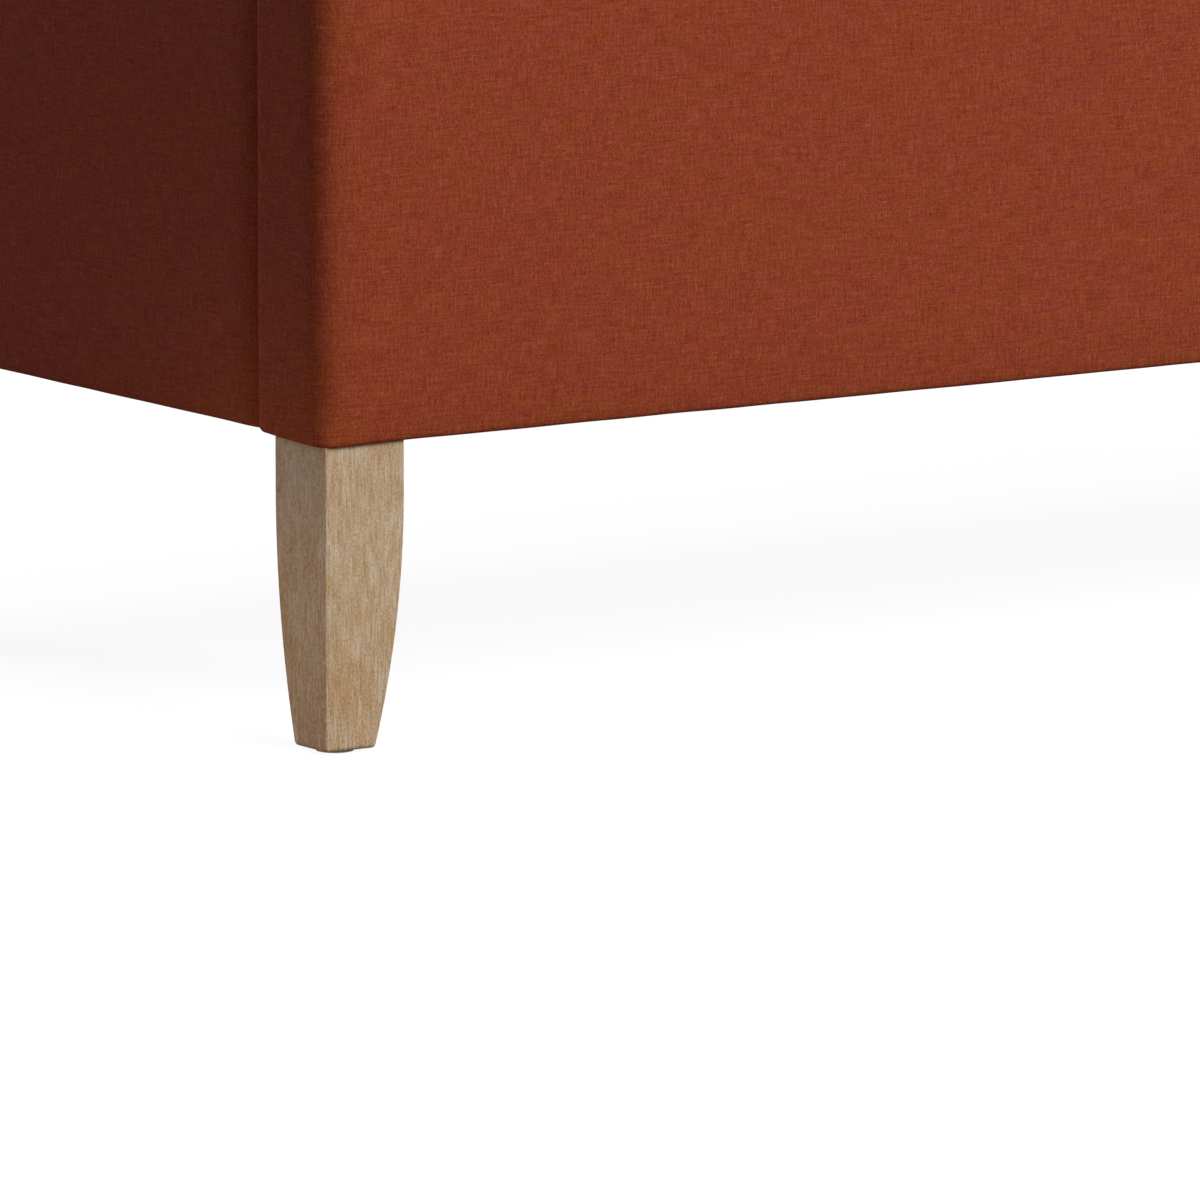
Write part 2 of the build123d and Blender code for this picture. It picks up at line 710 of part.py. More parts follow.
def make_hinges():
    """Leaves of the three hinges: outer knuckles on the box, inner knuckles on the lid."""
    for name, centre in HINGE_CENTRES.items():
        top = BODY_TOP + HINGE_LEAF
        make_hinge_leaf(f"hinge_{name}_box_leaf", centre, (BODY_TOP, top), 0, top, 1)
        low = LID_BOTTOM - HINGE_LEAF
        make_hinge_leaf(f"hinge_{name}_lid_leaf", centre, (low, LID_BOTTOM), 1, low, -1)
    make_hinge_pins()
    make_screws("hinge_box_screws", hinge_screw_axes(BODY_TOP + HINGE_LEAF, 1))
    make_screws("hinge_lid_screws", hinge_screw_axes(LID_BOTTOM - HINGE_LEAF, -1))


# ---------------------------------------------------------------- lid
def lid_form(inset):
    """Padded outline of the lid, with every face moved in by the inset."""
    with BuildPart() as form:
        with BuildSketch(Plane.XY.offset(LID_BOTTOM + inset)):
            RectangleRounded(LENGTH - 2 * inset, DEPTH - 2 * inset, CORNER_RADIUS - inset)
        extrude(amount=LID_HEIGHT - 2 * inset)
        fillet(form.faces().sort_by(Axis.Z)[-1].edges(), LID_TOP_RADIUS - inset)
    return form.part


def lid_screw_holes():
    """Holes for the hinge and stay screws in whatever lies under the lid board."""
    drill(hinge_screw_axes(LID_BOTTOM, -1), SCREW_RADIUS + FIT, SCREW_LENGTH - HINGE_LEAF)
    for side in SIDES.values():
        drill(stay_lid_screw_axes(side), SCREW_RADIUS + FIT, SCREW_LENGTH)


def make_lid_cover():
    """Cloth cover of the lid, turned under the board."""
    outside = lid_form(0)
    inside = lid_form(COVER)
    with BuildPart() as cover:
        add(outside)
        add(inside, mode=Mode.SUBTRACT)
        half_x = HALF_LENGTH - LID_LIP
        half_y = HALF_DEPTH - LID_LIP
        block((-half_x, half_x), (-half_y, half_y), (LID_BOTTOM, LID_BOARD_BOTTOM), Mode.SUBTRACT)
        lid_screw_holes()
    save(cover, "lid_cover")


def make_lid_lining():
    """Lining cloth under the lid board."""
    half_x = HALF_LENGTH - LID_LIP
    half_y = HALF_DEPTH - LID_LIP
    with BuildPart() as lining:
        block((-half_x, half_x), (-half_y, half_y), (LID_BOTTOM, LID_BOARD_BOTTOM))
        lid_screw_holes()
    save(lining, "lid_lining")


def make_lid_board():
    """Plywood board that carries the hinges and stays."""
    half_x = HALF_LENGTH - LID_BOARD_INSET
    half_y = HALF_DEPTH - LID_BOARD_INSET
    with BuildPart() as board:
        block((-half_x, half_x), (-half_y, half_y), (LID_BOARD_BOTTOM, LID_BOARD_TOP))
        lid_screw_holes()
    save(board, "lid_board")


def make_lid_foam():
    """Foam block over the board, wrapped down round its edges."""
    padding = lid_form(COVER)
    half_x = HALF_LENGTH - LID_BOARD_INSET
    half_y = HALF_DEPTH - LID_BOARD_INSET
    with BuildPart() as foam:
        add(padding)
        block(
            (-half_x, half_x), (-half_y, half_y), (LID_BOARD_BOTTOM, LID_BOARD_TOP), Mode.SUBTRACT
        )
    save(foam, "lid_foam")


# ---------------------------------------------------------------- lid stays
def make_stay_arm(name, side):
    """Slotted arm that hangs from the lid's pivot and slides over the stud."""
    inner_x = side * STAY_PLANE - STAY_THICKNESS / 2
    length = SLOT_END + STAY_TIP
    with BuildPart() as arm:
        with BuildSketch(Plane.YZ.offset(inner_x)) as profile:
            with Locations(Location((PIVOT_Y, PIVOT_Z), STAY_SLANT - 90)):
                with Locations((length / 2, 0)):
                    SlotCenterToCenter(length, STAY_WIDTH)
                Circle(STUD_RADIUS + FIT, mode=Mode.SUBTRACT)
                with Locations(((SLOT_START + SLOT_END) / 2, 0)):
                    SlotCenterToCenter(
                        SLOT_END - SLOT_START + 2 * SLOT_CLEARANCE,
                        2 * (STUD_RADIUS + SLOT_CLEARANCE),
                        mode=Mode.SUBTRACT,
                    )
        extrude(amount=STAY_THICKNESS)
    save(arm, name)


def disc(side, y, z, radius, near, far):
    """A disc across X in the open part, between two distances from the middle."""
    start, end = outward(side, near, far)
    with BuildSketch(Plane.YZ.offset(start)) as section:
        with Locations((y, z)):
            Circle(radius)
    extrude(section.sketch, amount=end - start)


def make_stay_body_brackets():
    """Plates on the end panels, each with a shouldered stud for the arm's slot."""
    arm_outer = STAY_PLANE + STAY_THICKNESS / 2
    arm_inner = STAY_PLANE - STAY_THICKNESS / 2
    head_near = arm_inner - 3 * SIDE_GAP - STAY_PLATE
    with BuildPart() as brackets:
        for side in SIDES.values():
            half_y = BODY_PLATE_WIDTH / 2
            half_z = BODY_PLATE_HEIGHT / 2
            block(
                outward(side, END_INNER - STAY_PLATE, END_INNER),
                (STUD_Y - half_y, STUD_Y + half_y),
                (STUD_Z - half_z, STUD_Z + half_z),
            )
            disc(side, STUD_Y, STUD_Z, STUD_SHOULDER_RADIUS, arm_outer + SIDE_GAP, END_INNER)
            disc(side, STUD_Y, STUD_Z, STUD_RADIUS, head_near, END_INNER)
            disc(side, STUD_Y, STUD_Z, STUD_HEAD_RADIUS, head_near, head_near + STAY_PLATE)
            countersink(stay_body_screw_axes(side), STAY_PLATE)
    save(brackets, "stay_box_brackets")


def make_stay_lid_brackets():
    """Angles under the lid, each with an ear that carries the arm's pivot pin."""
    ear_outer = STAY_PLANE - STAY_THICKNESS / 2 - SIDE_GAP
    ear_inner = ear_outer - STAY_PLATE
    with BuildPart() as brackets:
        for side in SIDES.values():
            half_y = LID_PLATE_LENGTH / 2
            block(
                outward(side, ear_outer - LID_PLATE_WIDTH, ear_outer),
                (PIVOT_Y - half_y, PIVOT_Y + half_y),
                (LID_BOTTOM - STAY_PLATE, LID_BOTTOM),
            )
            block(
                outward(side, ear_inner, ear_outer),
                (PIVOT_Y - STAY_WIDTH / 2, PIVOT_Y + STAY_WIDTH / 2),
                (PIVOT_Z, LID_BOTTOM),
            )
            disc(side, PIVOT_Y, PIVOT_Z, STAY_WIDTH / 2, ear_inner, ear_outer)
        for side in SIDES.values():
            with BuildSketch(Plane.YZ.offset(-HALF_LENGTH)) as bore:
                with Locations((PIVOT_Y, PIVOT_Z)):
                    Circle(STUD_RADIUS + FIT)
            extrude(bore.sketch, amount=LENGTH, mode=Mode.SUBTRACT)
            countersink(stay_lid_screw_axes(side), STAY_PLATE)
    save(brackets, "stay_lid_brackets")


def make_stay_pivot_pins():
    """Headed pins through the ears and the arms."""
    ear_inner = STAY_PLANE - STAY_THICKNESS / 2 - SIDE_GAP - STAY_PLATE
    head_near = STAY_PLANE + STAY_THICKNESS / 2 + SIDE_GAP
    with BuildPart() as pins:
        for side in SIDES.values():
            disc(side, PIVOT_Y, PIVOT_Z, STUD_RADIUS, ear_inner, head_near)
            disc(side, PIVOT_Y, PIVOT_Z, STUD_HEAD_RADIUS, head_near, head_near + STAY_PLATE)
    save(pins, "stay_pivot_pins")


# ---------------------------------------------------------------- bumpers
def make_bumpers():
    """Rubber bumpers on the front panel, just under the closed lid."""
    y = -(LONG_FRAME_INNER + LONG_FRAME / 2)
    with BuildPart() as bumpers:
        with Locations((-BUMPER_X, y, BODY_TOP), (BUMPER_X, y, BODY_TOP)):
            Cylinder(BUMPER_RADIUS, BUMPER_HEIGHT, align=(Align.CENTER, Align.CENTER, Align.MIN))
        fillet(bumpers.faces().sort_by(Axis.Z)[-2:].edges(), BUMPER_RADIUS / 6)
    save(bumpers, "lid_bumpers")


# ---------------------------------------------------------------- the whole ottoman
os.makedirs("parts", exist_ok=True)

for panel, panel_side in LONG_SIDES.items():
    make_long_rails(panel, panel_side)
    make_long_uprights(panel, panel_side)
    make_long_facing(panel, panel_side)
    make_long_foam(panel, panel_side)
    make_long_cover(panel, panel_side)
    make_long_lining(panel, panel_side)

for panel, panel_side in SIDES.items():
    make_end_rails(panel, panel_side)
    make_end_uprights(panel, panel_side)
    make_end_facing(panel, panel_side)
    make_end_foam(panel, panel_side)
    make_end_cover(panel, panel_side)
    make_end_lining(panel, panel_side)
    make_stay_arm(f"{panel}_stay_arm", panel_side)

make_base_battens()
make_base_sheet("base_board", BASE_BOARD_BOTTOM, BASE_BOARD_TOP)
make_base_sheet("base_lining", BASE_BOARD_TOP, BASE_BOARD_TOP + COVER)
make_dust_cover()

for end_name, end_side in SIDES.items():
    for long_name, long_side in LONG_SIDES.items():
        make_leg(f"{long_name}_{end_name}_leg", end_side, long_side)
make_leg_bolts()
make_leg_inserts()
make_leg_glides()

make_corner_brackets()
make_screws("corner_bracket_screws", bracket_screw_axes())

make_hinges()

make_lid_board()
make_lid_foam()
make_lid_cover()
make_lid_lining()

make_stay_body_brackets()
make_stay_lid_brackets()
make_stay_pivot_pins()
box_screws = stay_body_screw_axes(-1) + stay_body_screw_axes(1)
lid_screws = stay_lid_screw_axes(-1) + stay_lid_screw_axes(1)
make_screws("stay_box_screws", box_screws)
make_screws("stay_lid_screws", lid_screws)
make_bumpers()
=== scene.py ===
import json
import math

import bmesh
import bpy
import numpy as np
from mathutils import Matrix, Vector, noise
from mathutils.bvhtree import BVHTree


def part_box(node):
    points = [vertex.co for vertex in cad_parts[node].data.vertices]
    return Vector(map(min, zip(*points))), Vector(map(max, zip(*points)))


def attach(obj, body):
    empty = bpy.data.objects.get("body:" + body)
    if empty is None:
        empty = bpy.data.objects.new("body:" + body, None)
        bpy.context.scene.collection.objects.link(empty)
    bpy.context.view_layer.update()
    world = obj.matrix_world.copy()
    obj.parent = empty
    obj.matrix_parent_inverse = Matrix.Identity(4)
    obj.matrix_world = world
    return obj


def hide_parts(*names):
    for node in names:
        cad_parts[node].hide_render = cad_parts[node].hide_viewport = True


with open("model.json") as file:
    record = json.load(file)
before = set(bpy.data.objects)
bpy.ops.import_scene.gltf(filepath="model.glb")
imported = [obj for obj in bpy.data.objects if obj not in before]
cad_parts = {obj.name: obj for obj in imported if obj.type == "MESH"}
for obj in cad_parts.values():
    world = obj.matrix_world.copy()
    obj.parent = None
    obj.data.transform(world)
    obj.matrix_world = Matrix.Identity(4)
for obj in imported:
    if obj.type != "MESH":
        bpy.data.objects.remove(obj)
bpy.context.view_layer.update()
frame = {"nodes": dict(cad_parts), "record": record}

MM = 0.001
NODES = frame["nodes"]
SCENE = bpy.context.scene


# ================================================================ material helpers
class Shader:
    """Adds nodes to one new material and joins them up."""

    def __init__(self, name):
        self.material = bpy.data.materials.new(name)
        self.material.use_nodes = True
        self.tree = self.material.node_tree
        self.tree.nodes.clear()
        self.output = self.tree.nodes.new("ShaderNodeOutputMaterial")

    def feed(self, socket, value):
        """Join a node's output to a socket, or set the socket's own value."""
        if isinstance(value, bpy.types.NodeSocket):
            self.tree.links.new(value, socket)
        elif value is not None:
            socket.default_value = value

    def node(self, kind, inputs=(), output=0, **settings):
        """A new node with its settings and inputs; returns one of its outputs."""
        made = self.tree.nodes.new(f"ShaderNode{kind}")
        for name, value in settings.items():
            setattr(made, name, value)
        for key, value in dict(inputs).items():
            self.feed(made.inputs[key], value)
        return made.outputs[output]

    def math(self, operation, first, second=None, third=None):
        inputs = {i: v for i, v in enumerate((first, second, third)) if v is not None}
        return self.node("Math", inputs, operation=operation)

    def scaled(self, vector, scale, shift=(0.0, 0.0, 0.0)):
        """Coordinates times a scale, plus a shift."""
        inputs = {"Vector": vector, "Scale": scale, "Location": shift}
        return self.node("Mapping", inputs)

    def noise(self, vector, scale=1.0, detail=2.0, rough=0.5, distortion=0.0):
        inputs = {
            "Vector": vector,
            "Scale": scale,
            "Detail": detail,
            "Roughness": rough,
            "Distortion": distortion,
        }
        return self.node("TexNoise", inputs, output="Fac")

    def remap(self, value, low, high, to_low=0.0, to_high=1.0, smooth=False):
        inputs = {0: value, 1: low, 2: high, 3: to_low, 4: to_high}
        kind = "SMOOTHSTEP" if smooth else "LINEAR"
        return self.node("MapRange", inputs, interpolation_type=kind)

    def mix(self, factor, first, second):
        """Mix two colours."""
        made = self.tree.nodes.new("ShaderNodeMix")
        made.data_type = "RGBA"
        self.feed(made.inputs[0], factor)
        self.feed(made.inputs[6], first)
        self.feed(made.inputs[7], second)
        return made.outputs[2]

    def bump(self, height, distance):
        return self.node("Bump", {"Height": height, "Distance": distance, "Strength": 1.0})

    def coordinates(self, kind="TexCoord", output="Object", **settings):
        """Coordinates in millimetres."""
        place = self.node(kind, output=output, **settings)
        return self.scaled(place, (1 / MM, 1 / MM, 1 / MM))

    def split(self, vector):
        """The three parts of a vector."""
        made = self.tree.nodes.new("ShaderNodeSeparateXYZ")
        self.feed(made.inputs[0], vector)
        return made.outputs

    def surface(self, **inputs):
        """The principled shader, with inputs named by their labels, and the material."""
        names = {key.replace("_", " "): value for key, value in inputs.items()}
        self.feed(self.output.inputs["Surface"], self.node("BsdfPrincipled", names))
        return self.material


def srgb(red, green, blue):
    """A colour given as 0 to 255 display values."""
    linear = []
    for channel in (red, green, blue):
        value = channel / 255
        linear.append(value / 12.92 if value <= 0.04045 else ((value + 0.055) / 1.055) ** 2.4)
    return (*linear, 1.0)


# ================================================================ materials
def woven_cloth(name, base, shades, painted_highlight_shade_and_slub, pitch, contrast, sheen):
    """Plain-weave cloth on UVs in metres: uneven yarn, weave, slubs and faint hue blotches.

    shades are the base's cooler and warmer neighbours; the other three colours are a painted
    highlight on the yarns, painted shade in the gaps between yarns, and the slubs."""
    cool, warm = shades
    pale, painted_gap_shade, slub = painted_highlight_shade_and_slub
    s = Shader(name)
    cloth = s.coordinates("UVMap", 0, uv_map="cloth")

    warp_yarn = s.noise(s.scaled(cloth, (1 / (1.7 * pitch), 1 / 12, 1)), detail=3.0, rough=0.65)
    weft_yarn = s.noise(s.scaled(cloth, (1 / 16, 1 / (1.8 * pitch), 1)), detail=2.0, rough=0.65)
    warp_grain = s.noise(s.scaled(cloth, (0.9 / pitch, 0.25 / pitch, 1)), detail=2.0, rough=0.7)
    grain = s.noise(s.scaled(cloth, (0.62 / pitch, 0.62 / pitch, 1)), detail=2.0, rough=0.75)
    blotch = s.noise(s.scaled(cloth, (1 / 24, 1 / 8, 1)), detail=2.0, rough=0.5)
    drift = s.noise(s.scaled(cloth, (1 / 110, 1 / 45, 1), (9, 4, 0)), detail=2.0, rough=0.5)

    parts = s.split(cloth)
    across = s.math("SINE", s.math("MULTIPLY", parts[0], math.tau / pitch))
    along = s.math("SINE", s.math("MULTIPLY", parts[1], math.tau / pitch))
    weave = s.math("MULTIPLY", across, along)

    hue = s.math("MULTIPLY_ADD", drift, 0.35, s.math("MULTIPLY", blotch, 0.65))
    colour = s.mix(s.remap(hue, 0.40, 0.60, smooth=True), cool, warm)
    colour = s.mix(0.4, colour, base)

    tone = s.math("MULTIPLY", warp_yarn, 0.24)
    tone = s.math("MULTIPLY_ADD", weft_yarn, 0.18, tone)
    tone = s.math("MULTIPLY_ADD", warp_grain, 0.26, tone)
    tone = s.math("MULTIPLY_ADD", grain, 0.32, tone)
    tone = s.math("MULTIPLY_ADD", weave, 0.02, tone)
    spread = 0.112
    # painted light: the pale tone is a painted highlight on the yarns, the dark tone painted shade
    # in the gaps between them
    dark = s.remap(tone, 0.5, 0.5 - spread, 0.0, contrast)
    light = s.remap(tone, 0.5, 0.5 + spread, 0.0, contrast)
    colour = s.mix(light, s.mix(dark, colour, painted_gap_shade), pale)

    warp_slub = s.noise(s.scaled(cloth, (1 / (1.8 * pitch), 1 / 8, 1), (31, 7, 0)), detail=1.0)
    weft_slub = s.noise(s.scaled(cloth, (1 / 9, 1 / (1.6 * pitch), 1), (5, 19, 0)), detail=1.0)
    knots = s.math(
        "MAXIMUM",
        s.remap(warp_slub, 0.67, 0.80, smooth=True),
        s.remap(weft_slub, 0.68, 0.80, smooth=True),
    )
    colour = s.mix(s.math("MULTIPLY", knots, 0.55), colour, slub)

    height = s.math("MULTIPLY_ADD", warp_yarn, 0.5, s.math("MULTIPLY", weave, 0.3))
    height = s.math("MULTIPLY_ADD", weft_yarn, 0.35, height)
    height = s.math("MULTIPLY_ADD", warp_grain, 0.3, height)
    height = s.math("MULTIPLY_ADD", knots, 0.4, height)
    return s.surface(
        Base_Color=colour,
        Roughness=0.95,
        Specular_IOR_Level=0.06,
        Sheen_Weight=sheen,
        Sheen_Roughness=0.4,
        Sheen_Tint=pale,
        Normal=s.bump(height, 0.07 * MM),
    )


def limed_oak(name):
    """Pale limed oak: upright grain, chalky patches and streaks, honey areas and fine pores."""
    s = Shader(name)
    place = s.coordinates()
    streak = s.noise(
        s.scaled(place, (1 / 1.5, 1 / 1.5, 1 / 19), (3, 8, 1)), detail=3.0, rough=0.65
    )
    fibre = s.noise(
        s.scaled(place, (1 / 0.75, 1 / 0.75, 1 / 10), (13, 2, 5)), detail=3.0, rough=0.72
    )
    pore = s.noise(s.scaled(place, (1 / 0.8, 1 / 0.8, 1 / 5), (4, 9, 20)), detail=1.0, rough=0.4)
    chalk = s.noise(s.scaled(place, (1 / 12, 1 / 12, 1 / 34), (1, 5, 2)), detail=2.0, rough=0.6)
    honey = s.noise(s.scaled(place, (1 / 10, 1 / 10, 1 / 18), (6, 1, 2)), detail=3.0, rough=0.6)
    honey = s.math("ADD", honey, s.remap(s.split(place)[2], 20.0, 120.0, 0.17, -0.06))
    fleck = s.noise(s.scaled(place, (1 / 0.8, 1 / 0.8, 1 / 1.4)), detail=2.0, rough=0.75)

    colour = s.mix(s.remap(honey, 0.36, 0.66, smooth=True), srgb(185, 156, 122), srgb(178, 139, 93))
    lime = s.math("MULTIPLY", s.remap(chalk, 0.38, 0.66), s.remap(streak, 0.42, 0.60, smooth=True))
    colour = s.mix(s.math("MULTIPLY", lime, 0.62), colour, srgb(212, 197, 177))
    colour = s.mix(s.remap(fibre, 0.50, 0.36, 0.0, 0.5), colour, srgb(140, 112, 82))
    colour = s.mix(s.remap(fibre, 0.52, 0.66, 0.0, 0.45), colour, srgb(208, 188, 162))
    colour = s.mix(s.remap(fleck, 0.5, 0.66, 0.0, 0.6), colour, srgb(210, 188, 156))
    colour = s.mix(s.remap(fleck, 0.48, 0.33, 0.0, 0.6), colour, srgb(142, 115, 86))
    dark_pore = s.remap(pore, 0.34, 0.26, 0.0, 0.4, smooth=True)
    colour = s.mix(dark_pore, colour, srgb(116, 92, 68))
    height = s.math("SUBTRACT", s.math("MULTIPLY", fibre, 0.5), dark_pore)
    return s.surface(
        Base_Color=colour,
        Roughness=s.remap(lime, 0.0, 0.75, 0.62, 0.76),
        Specular_IOR_Level=0.25,
        Normal=s.bump(height, 0.08 * MM),
    )


def sawn_wood(name, base, dark, ring, axis):
    """Unfinished softwood or plywood with growth rings drawn out along one axis."""
    s = Shader(name)
    stretch = [1 / ring] * 3
    stretch[axis] = 1 / (40 * ring)
    place = s.coordinates()
    rings = s.noise(s.scaled(place, tuple(stretch)), detail=4.0, rough=0.6, distortion=0.4)
    fine = s.noise(s.scaled(place, tuple(6 * v for v in stretch)), detail=2.0)
    tone = s.math("MULTIPLY_ADD", fine, 0.35, s.math("MULTIPLY", rings, 0.65))
    colour = s.mix(s.remap(tone, 0.38, 0.66), base, dark)
    return s.surface(
        Base_Color=colour,
        Roughness=0.72,
        Specular_IOR_Level=0.3,
        Normal=s.bump(tone, 0.2 * MM),
    )


def plated_steel(name, base, tint, rough, grain):
    """Plated steel with drawn grain, faint clouding and light scuffs."""
    s = Shader(name)
    place = s.coordinates()
    drawn = s.noise(s.scaled(place, grain), detail=2.0, rough=0.6)
    cloud = s.noise(s.scaled(place, (1 / 9, 1 / 9, 1 / 9)), detail=3.0, rough=0.6)
    scuff = s.noise(s.scaled(place, (1 / 3, 1 / 3, 1 / 3)), detail=3.0, rough=0.65)
    colour = s.mix(s.remap(cloud, 0.35, 0.65), base, tint)
    worn = s.remap(scuff, 0.5, 0.72, 0.0, 0.08)
    roughness = s.math("ADD", s.remap(drawn, 0.3, 0.7, rough - 0.03, rough + 0.03), worn)
    return s.surface(
        Base_Color=colour,
        Metallic=1.0,
        Roughness=roughness,
        Normal=s.bump(drawn, 0.004 * MM),
    )


def moulded(name, base, pale, rough, depth):
    """Moulded rubber or nylon with a fine grain and paler rubbed spots."""
    s = Shader(name)
    place = s.coordinates()
    grain = s.noise(s.scaled(place, (2.2, 2.2, 2.2)), detail=2.0)
    rubbed = s.noise(s.scaled(place, (0.25, 0.25, 0.25)), detail=3.0, rough=0.7)
    colour = s.mix(s.remap(rubbed, 0.45, 0.75, 0.0, 0.6), base, pale)
    return s.surface(
        Base_Color=colour,
        Roughness=s.remap(rubbed, 0.4, 0.7, rough, rough + 0.12),
        Specular_IOR_Level=0.35,
        Normal=s.bump(grain, depth),
    )


def bonded_cloth(name):
    """Black non-woven bottoming cloth: pressed fibres and a pin-bonded grid."""
    s = Shader(name)
    cloth = s.coordinates("UVMap", 0, uv_map="cloth")
    fibres = s.noise(s.scaled(cloth, (1 / 0.8, 1 / 3.5, 1)), detail=4.0, rough=0.7, distortion=1.5)
    cloud = s.noise(s.scaled(cloth, (1 / 45, 1 / 45, 1)), detail=3.0)
    parts = s.split(cloth)
    pitch = 1.6
    across = s.math("SINE", s.math("MULTIPLY", parts[0], math.tau / pitch))
    along = s.math("SINE", s.math("MULTIPLY", parts[1], math.tau / pitch))
    pins = s.remap(s.math("MULTIPLY", across, along), 0.55, 0.9, smooth=True)
    colour = s.mix(s.remap(fibres, 0.4, 0.75), srgb(24, 24, 26), srgb(52, 52, 55))
    colour = s.mix(s.remap(cloud, 0.45, 0.7, 0.0, 0.4), colour, srgb(38, 37, 39))
    height = s.math("MULTIPLY_ADD", pins, -0.7, fibres)
    return s.surface(
        Base_Color=colour,
        Roughness=0.88,
        Specular_IOR_Level=0.25,
        Sheen_Weight=0.15,
        Normal=s.bump(height, 0.1 * MM),
    )


def sewing_thread(name, base, pale):
    """Twisted sewing thread."""
    s = Shader(name)
    place = s.coordinates()
    twist = s.noise(s.scaled(place, (3.0, 3.0, 3.0)), detail=2.0, rough=0.6)
    return s.surface(
        Base_Color=s.mix(twist, base, pale),
        Roughness=0.6,
        Sheen_Weight=0.3,
        Normal=s.bump(twist, 0.05 * MM),
    )


RUST = woven_cloth(
    "rust_linen",
    base=srgb(137, 60, 35),
    shades=(srgb(139, 57, 41), srgb(140, 65, 32)),
    # a painted yarn highlight, painted shade between yarns, then the slub colour
    painted_highlight_shade_and_slub=(srgb(162, 84, 58), srgb(110, 38, 16), srgb(174, 98, 62)),
    pitch=0.56,
    contrast=1.0,
    sheen=0.0,
)
CALICO = woven_cloth(
    "calico",
    base=srgb(206, 196, 177),
    shades=(srgb(205, 197, 181), srgb(209, 197, 173)),
    # a painted yarn highlight, painted shade between yarns, then the slub colour
    painted_highlight_shade_and_slub=(srgb(226, 218, 203), srgb(178, 166, 143), srgb(168, 152, 124)),
    pitch=0.8,
    contrast=0.8,
    sheen=0.03,
)
DUST_CLOTH = bonded_cloth("dust_cloth")
OAK = limed_oak("limed_oak")
PINE = sawn_wood("frame_pine", srgb(214, 182, 134), srgb(188, 146, 94), 6.0, 0)
PLYWOOD = sawn_wood("birch_plywood", srgb(222, 198, 158), srgb(202, 168, 122), 9.0, 0)
HARDBOARD = sawn_wood("hardboard", srgb(122, 86, 56), srgb(96, 64, 40), 1.2, 0)
ZINC = plated_steel(
    "zinc_plate", srgb(196, 196, 190), srgb(178, 180, 172), 0.40, (1 / 1.5, 1 / 1.5, 1 / 8)
)
NICKEL = plated_steel(
    "nickel_plate", srgb(190, 188, 182), srgb(172, 170, 166), 0.36, (1 / 10, 1 / 0.8, 1 / 0.8)
)
STAY_STEEL = plated_steel(
    "stay_plate", srgb(176, 178, 180), srgb(160, 162, 166), 0.38, (1 / 0.8, 1 / 0.8, 1 / 12)
)
SCREW_STEEL = plated_steel("screw_steel", srgb(186, 184, 172), srgb(166, 163, 150), 0.32, (1, 1, 1))
NYLON = moulded("pale_nylon", srgb(214, 209, 198), srgb(230, 226, 217), 0.45, 0.03 * MM)
RUBBER = moulded("black_rubber", srgb(26, 26, 27), srgb(58, 58, 60), 0.66, 0.05 * MM)
RUST_THREAD = sewing_thread("rust_thread", srgb(128, 54, 34), srgb(168, 82, 54))
CALICO_THREAD = sewing_thread("calico_thread", srgb(190, 178, 156), srgb(214, 206, 190))


# ================================================================ mesh helpers
def make_object(name, vertices, faces, uvs, material):
    """A mesh object from points, faces and one UV pair for each face corner."""
    mesh = bpy.data.meshes.new(name)
    mesh.from_pydata([tuple(v) for v in vertices], [], [tuple(f) for f in faces])
    if uvs is not None:
        layer = mesh.uv_layers.new(name="cloth")
        layer.data.foreach_set("uv", np.asarray(uvs, np.float32).ravel())
    mesh.materials.append(material)
    piece = bpy.data.objects.new(name, mesh)
    SCENE.collection.objects.link(piece)
    return piece


def clean(piece, distance=1e-5):
    """Weld coincident points, drop collapsed faces and turn every face outwards."""
    shape = bmesh.new()
    shape.from_mesh(piece.data)
    bmesh.ops.remove_doubles(shape, verts=shape.verts, dist=distance)
    bmesh.ops.dissolve_degenerate(shape, edges=shape.edges, dist=distance / 10)
    bmesh.ops.recalc_face_normals(shape, faces=shape.faces)
    shape.to_mesh(piece.data)
    shape.free()
    smooth(piece)


def smooth(piece):
    piece.data.polygons.foreach_set("use_smooth", [True] * len(piece.data.polygons))
    piece.data.update()


def points_of(piece):
    co = np.zeros(len(piece.data.vertices) * 3)
    piece.data.vertices.foreach_get("co", co)
    return co.reshape(-1, 3)


def set_points(piece, points):
    piece.data.vertices.foreach_set("co", np.asarray(points, float).ravel())
    piece.data.update()


def normals_of(piece):
    out = np.zeros(len(piece.data.vertices) * 3)
    piece.data.vertex_normals.foreach_get("vector", out)
    return out.reshape(-1, 3)


def wave(points, size, seed):
    """Smooth noise from -1 to 1 at each point, with lumps of the given size."""
    offset = Vector((seed * 3.7, seed * 1.9, seed * 2.3))
    return np.array([noise.noise(Vector(p) / size + offset) for p in points])


def apply_modifier(piece, modifier):
    """Bake one modifier into the mesh."""
    bpy.context.view_layer.update()
    graph = bpy.context.evaluated_depsgraph_get()
    mesh = bpy.data.meshes.new_from_object(piece.evaluated_get(graph), depsgraph=graph)
    piece.modifiers.remove(modifier)
    old = piece.data
    piece.data = mesh
    mesh.name = piece.name
    bpy.data.meshes.remove(old)


def subdivide(piece):
    """Subdivide the mesh once."""
    modifier = piece.modifiers.new("subdivision", "SUBSURF")
    modifier.levels = 1
    modifier.render_levels = 1
    modifier.boundary_smooth = "PRESERVE_CORNERS"
    apply_modifier(piece, modifier)
    smooth(piece)


CLOTH_PRESSURE = 4.0
CLOTH_FRAMES = 20


